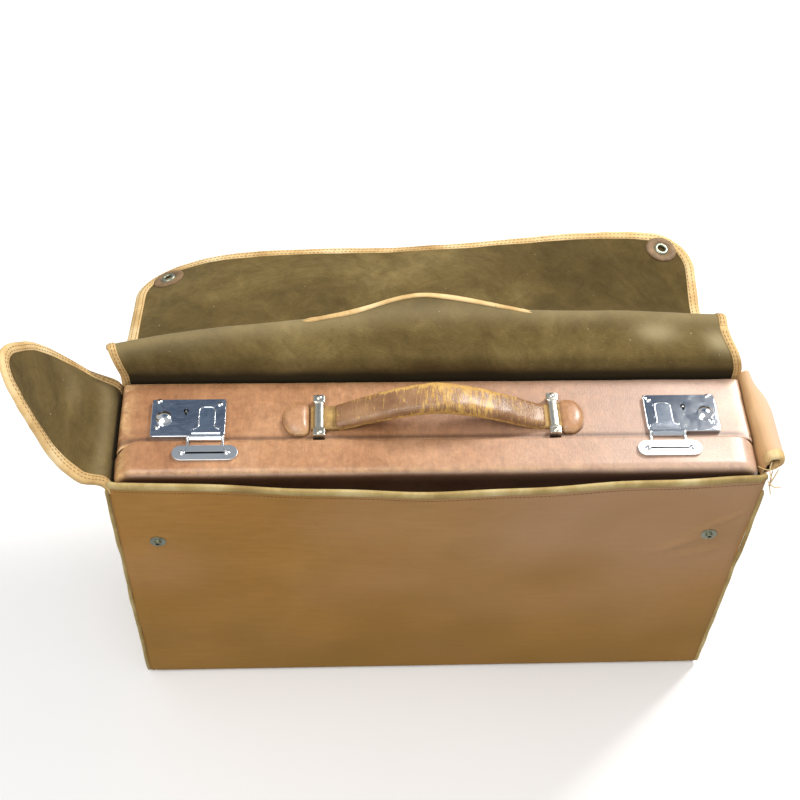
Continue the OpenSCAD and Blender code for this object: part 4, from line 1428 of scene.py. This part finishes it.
def make_rims():
    """Raised edges of the lock plates and hasps, and the near-black steel under the keyholes, its tone
    painted shade in the holes.
    """
    for sign, side in WORD.items():
        low, high = box_mm(side + "_lock_plate")
        r = 0.8
        x0, y0, x1, y1 = low[0] + r, low[1] + r, high[0] - r, high[1] - r
        loop = []
        for cx, cy, start in ((x1, y1, 0), (x0, y1, 90), (x0, y0, 180), (x1, y0, 270)):
            for a in np.radians(np.linspace(start, start + 90, 6)):
                loop.append((cx + r * math.cos(a), cy + r * math.sin(a)))
        loop.append(loop[0])
        rim(side + "_plate_rim", loop, high[2] - 0.5, 0.55, "case")
        rim(side + "_hasp_rim", [(sign * x, y) for x, y in HASP_OUTLINE], HASP_Z, 0.5, side + "_hasp")
    heap = Heap()
    for sign in WORD:
        x = sign * KEYHOLE[0] + KEYHOLE_HALF[0] * np.cos(circle(20))
        y = KEYHOLE[1] + KEYHOLE_HALF[1] * np.sin(circle(20))
        points = np.concatenate([point_at(x, y, z) for z in (TOP + 0.35, TOP + 0.6)])
        heap.add(points, grid(2, 20, ring=True) + [tuple(range(20)), tuple(range(39, 19, -1))])
    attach(heap.build("keyhole_bottoms", DARK_MAT, "steel"), "case")


# ---------------- snaps of the drop flap

SNAP_X = 207.0                     # the snaps' distance from the middle
SNAP_S = REAR_L + FRONT_L + 86.8   # and their place along the lid


def on_flap(s0, x0, profile, sides=36, stretch=1.0):
    """A closed profile of (radius, height off the cloth) turned round a place on the flap."""
    angle = circle(sides)
    rows = []
    for r, h in profile:
        s = s0 + r * np.sin(angle)
        x = x0 + r * stretch * np.cos(angle)
        rows.append(lid_point(s, x) - surface_normals(lid_point, s, x) * h)
    faces = grid(len(profile), sides, ring=True)
    last = (len(profile) - 1) * sides
    for k in range(sides):
        after = (k + 1) % sides
        faces.append((last + k, last + after, after, k))
    return np.concatenate(rows), faces


PATCH_TURN = ((5.0, 1.4), (5.0, 2.7), (10.6, 2.8), (11.8, 2.3), (12.2, 1.4))
RING_TURN = ((3.0, 1.0), (3.0, 3.3), (3.8, 3.9), (4.8, 3.8), (5.7, 3.2), (5.9, 2.6), (5.9, 1.0))
POST_TURN = ((0.05, -1.2), (0.05, -0.6), (3.2, -0.4), (3.2, 2.0), (3.5, 2.0), (3.5, -1.2))
CAP_TURN = ((0.05, -1.4), (6.2, -1.4), (6.5, -2.0), (5.6, -3.0), (3.4, -3.7), (0.05, -4.0))


def make_snaps():
    patches, sockets, caps = Heap(), Heap(), Heap()
    for sign in WORD:
        place = (SNAP_S, sign * SNAP_X)
        patches.add(*on_flap(*place, PATCH_TURN, stretch=1.06))
        sockets.add(*on_flap(*place, RING_TURN))
        sockets.add(*on_flap(*place, POST_TURN, 24))
        caps.add(*on_flap(*place, CAP_TURN))
    for heap, name, material, slot, node in (
            (patches, "snap_washers", PATCH_MAT, "patch_leather", "snap_patches"),
            (sockets, "snap_rings", BRASS_MAT, "brass", "snap_sockets"),
            (caps, "snap_buttons", NICKEL_MAT, "nickel", "snap_caps")):
        obj = heap.build(name, material, slot)
        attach(obj, "drop_flap")
        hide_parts(node)


# ---------------- stage, camera and light

def make_stage():
    m = Nodes("floor_paper", roughness=0.9, specular=0.1)
    tone = m.ramp(m.noise(m.place(), 2.0, 3), (0.3, 0.90), (0.7, 0.94))
    path = m.node("ShaderNodeLightPath").outputs["Is Camera Ray"]
    m.colour(m.mix(path, (0.42, 0.42, 0.43), tone))
    size = 9.0
    mesh = bpy.data.meshes.new("floor")
    corners = [(-size, -size, 0), (size, -size, 0), (size, size, 0), (-size, size, 0)]
    mesh.from_pydata(corners, [], [(0, 1, 2, 3)])
    mesh.materials.append(m.material)
    floor = placed("floor", mesh)
    floor.location.z = -0.0002


CAMERA_AT = (-0.0691, -0.6246, 1.1019)
CAMERA_TURN = (51.63, 3.78, 2.42)     # down, to the right and rolled, degrees


def make_camera():
    """The camera stands high in front, a little left of the middle, and looks down."""
    data = bpy.data.cameras.new("camera")
    data.sensor_width = 36.0
    data.lens = 63.6
    obj = placed("camera", data)
    pitch, yaw, roll = (math.radians(a) for a in CAMERA_TURN)
    ahead = Vector((math.sin(yaw) * math.cos(pitch), math.cos(yaw) * math.cos(pitch), -math.sin(pitch)))
    right = Vector((math.cos(yaw), -math.sin(yaw), 0))
    up = right.cross(ahead)
    r = right * math.cos(roll) + up * math.sin(roll)
    u = up * math.cos(roll) - right * math.sin(roll)
    place = Vector(CAMERA_AT)
    rows = [(r[k], u[k], -ahead[k], place[k]) for k in range(3)]
    obj.matrix_world = Matrix((*rows, (0, 0, 0, 1)))
    bpy.context.scene.camera = obj


# Name, place, aim, size, power and colour of each light.
LIGHTS = (
    ("key", (0.96, 0.86, 1.48), (0.12, 0.0, 0.25), (0.5, 0.5), 32, (1.0, 0.97, 0.92)),
    ("top", (-0.7, -0.5, 1.9), (0.0, 0.0, 0.2), (1.2, 1.2), 20, (1.0, 0.99, 0.96)),
    ("front", (-0.4, -2.2, 1.0), (0.0, 0.0, 0.15), (1.6, 1.0), 14, (0.98, 0.98, 1.0)),
)


def area_light(name, place, aim, size, power, colour):
    data = bpy.data.lights.new(name, "AREA")
    data.shape = "RECTANGLE"
    data.size, data.size_y = size
    data.energy = power
    data.color = colour
    obj = placed(name, data)
    obj.location = place
    obj.rotation_euler = (Vector(aim) - Vector(place)).to_track_quat("-Z", "Y").to_euler()


def make_light():
    """A bright studio with one dark blue place, high behind the bag, that the chrome mirrors."""
    world = bpy.data.worlds.new("studio")
    bpy.context.scene.world = world
    world.use_nodes = True
    sky = Tree(world.node_tree)
    way = sky.node("ShaderNodeTexCoord").outputs["Generated"]
    turned, risen = math.radians(6), math.radians(51)
    dot = sky.node("ShaderNodeVectorMath", operation="DOT_PRODUCT")
    dot.inputs[1].default_value = (math.sin(turned) * math.cos(risen), math.cos(turned) * math.cos(risen),
                                   math.sin(risen))
    sky.link(way, dot.inputs[0])
    cloud = sky.noise(way, 14.0, 3.0, 0.5)
    near = sky.math("MULTIPLY_ADD", cloud, 0.30, sky.math("SUBTRACT", dot.outputs["Value"], 0.145))
    tone = sky.ramp(near, (0.90, 1.0), (0.965, (0.46, 0.55, 0.68)), (1.0, (0.13, 0.18, 0.27)))
    back = sky.tree.nodes["Background"]
    sky.link(tone, back.inputs["Color"])
    back.inputs["Strength"].default_value = 0.55
    for light in LIGHTS:
        area_light(*light)
    scene = bpy.context.scene
    scene.view_settings.view_transform = "Standard"
    scene.view_settings.look = "None"


make_camera()
make_stage()
make_light()
make_walls()
make_seams()
make_lid()
make_lid_tapes()
make_tongue()
make_roll()
make_case()
make_handle()
make_keepers()
finish_metal()
make_rims()
make_snaps()
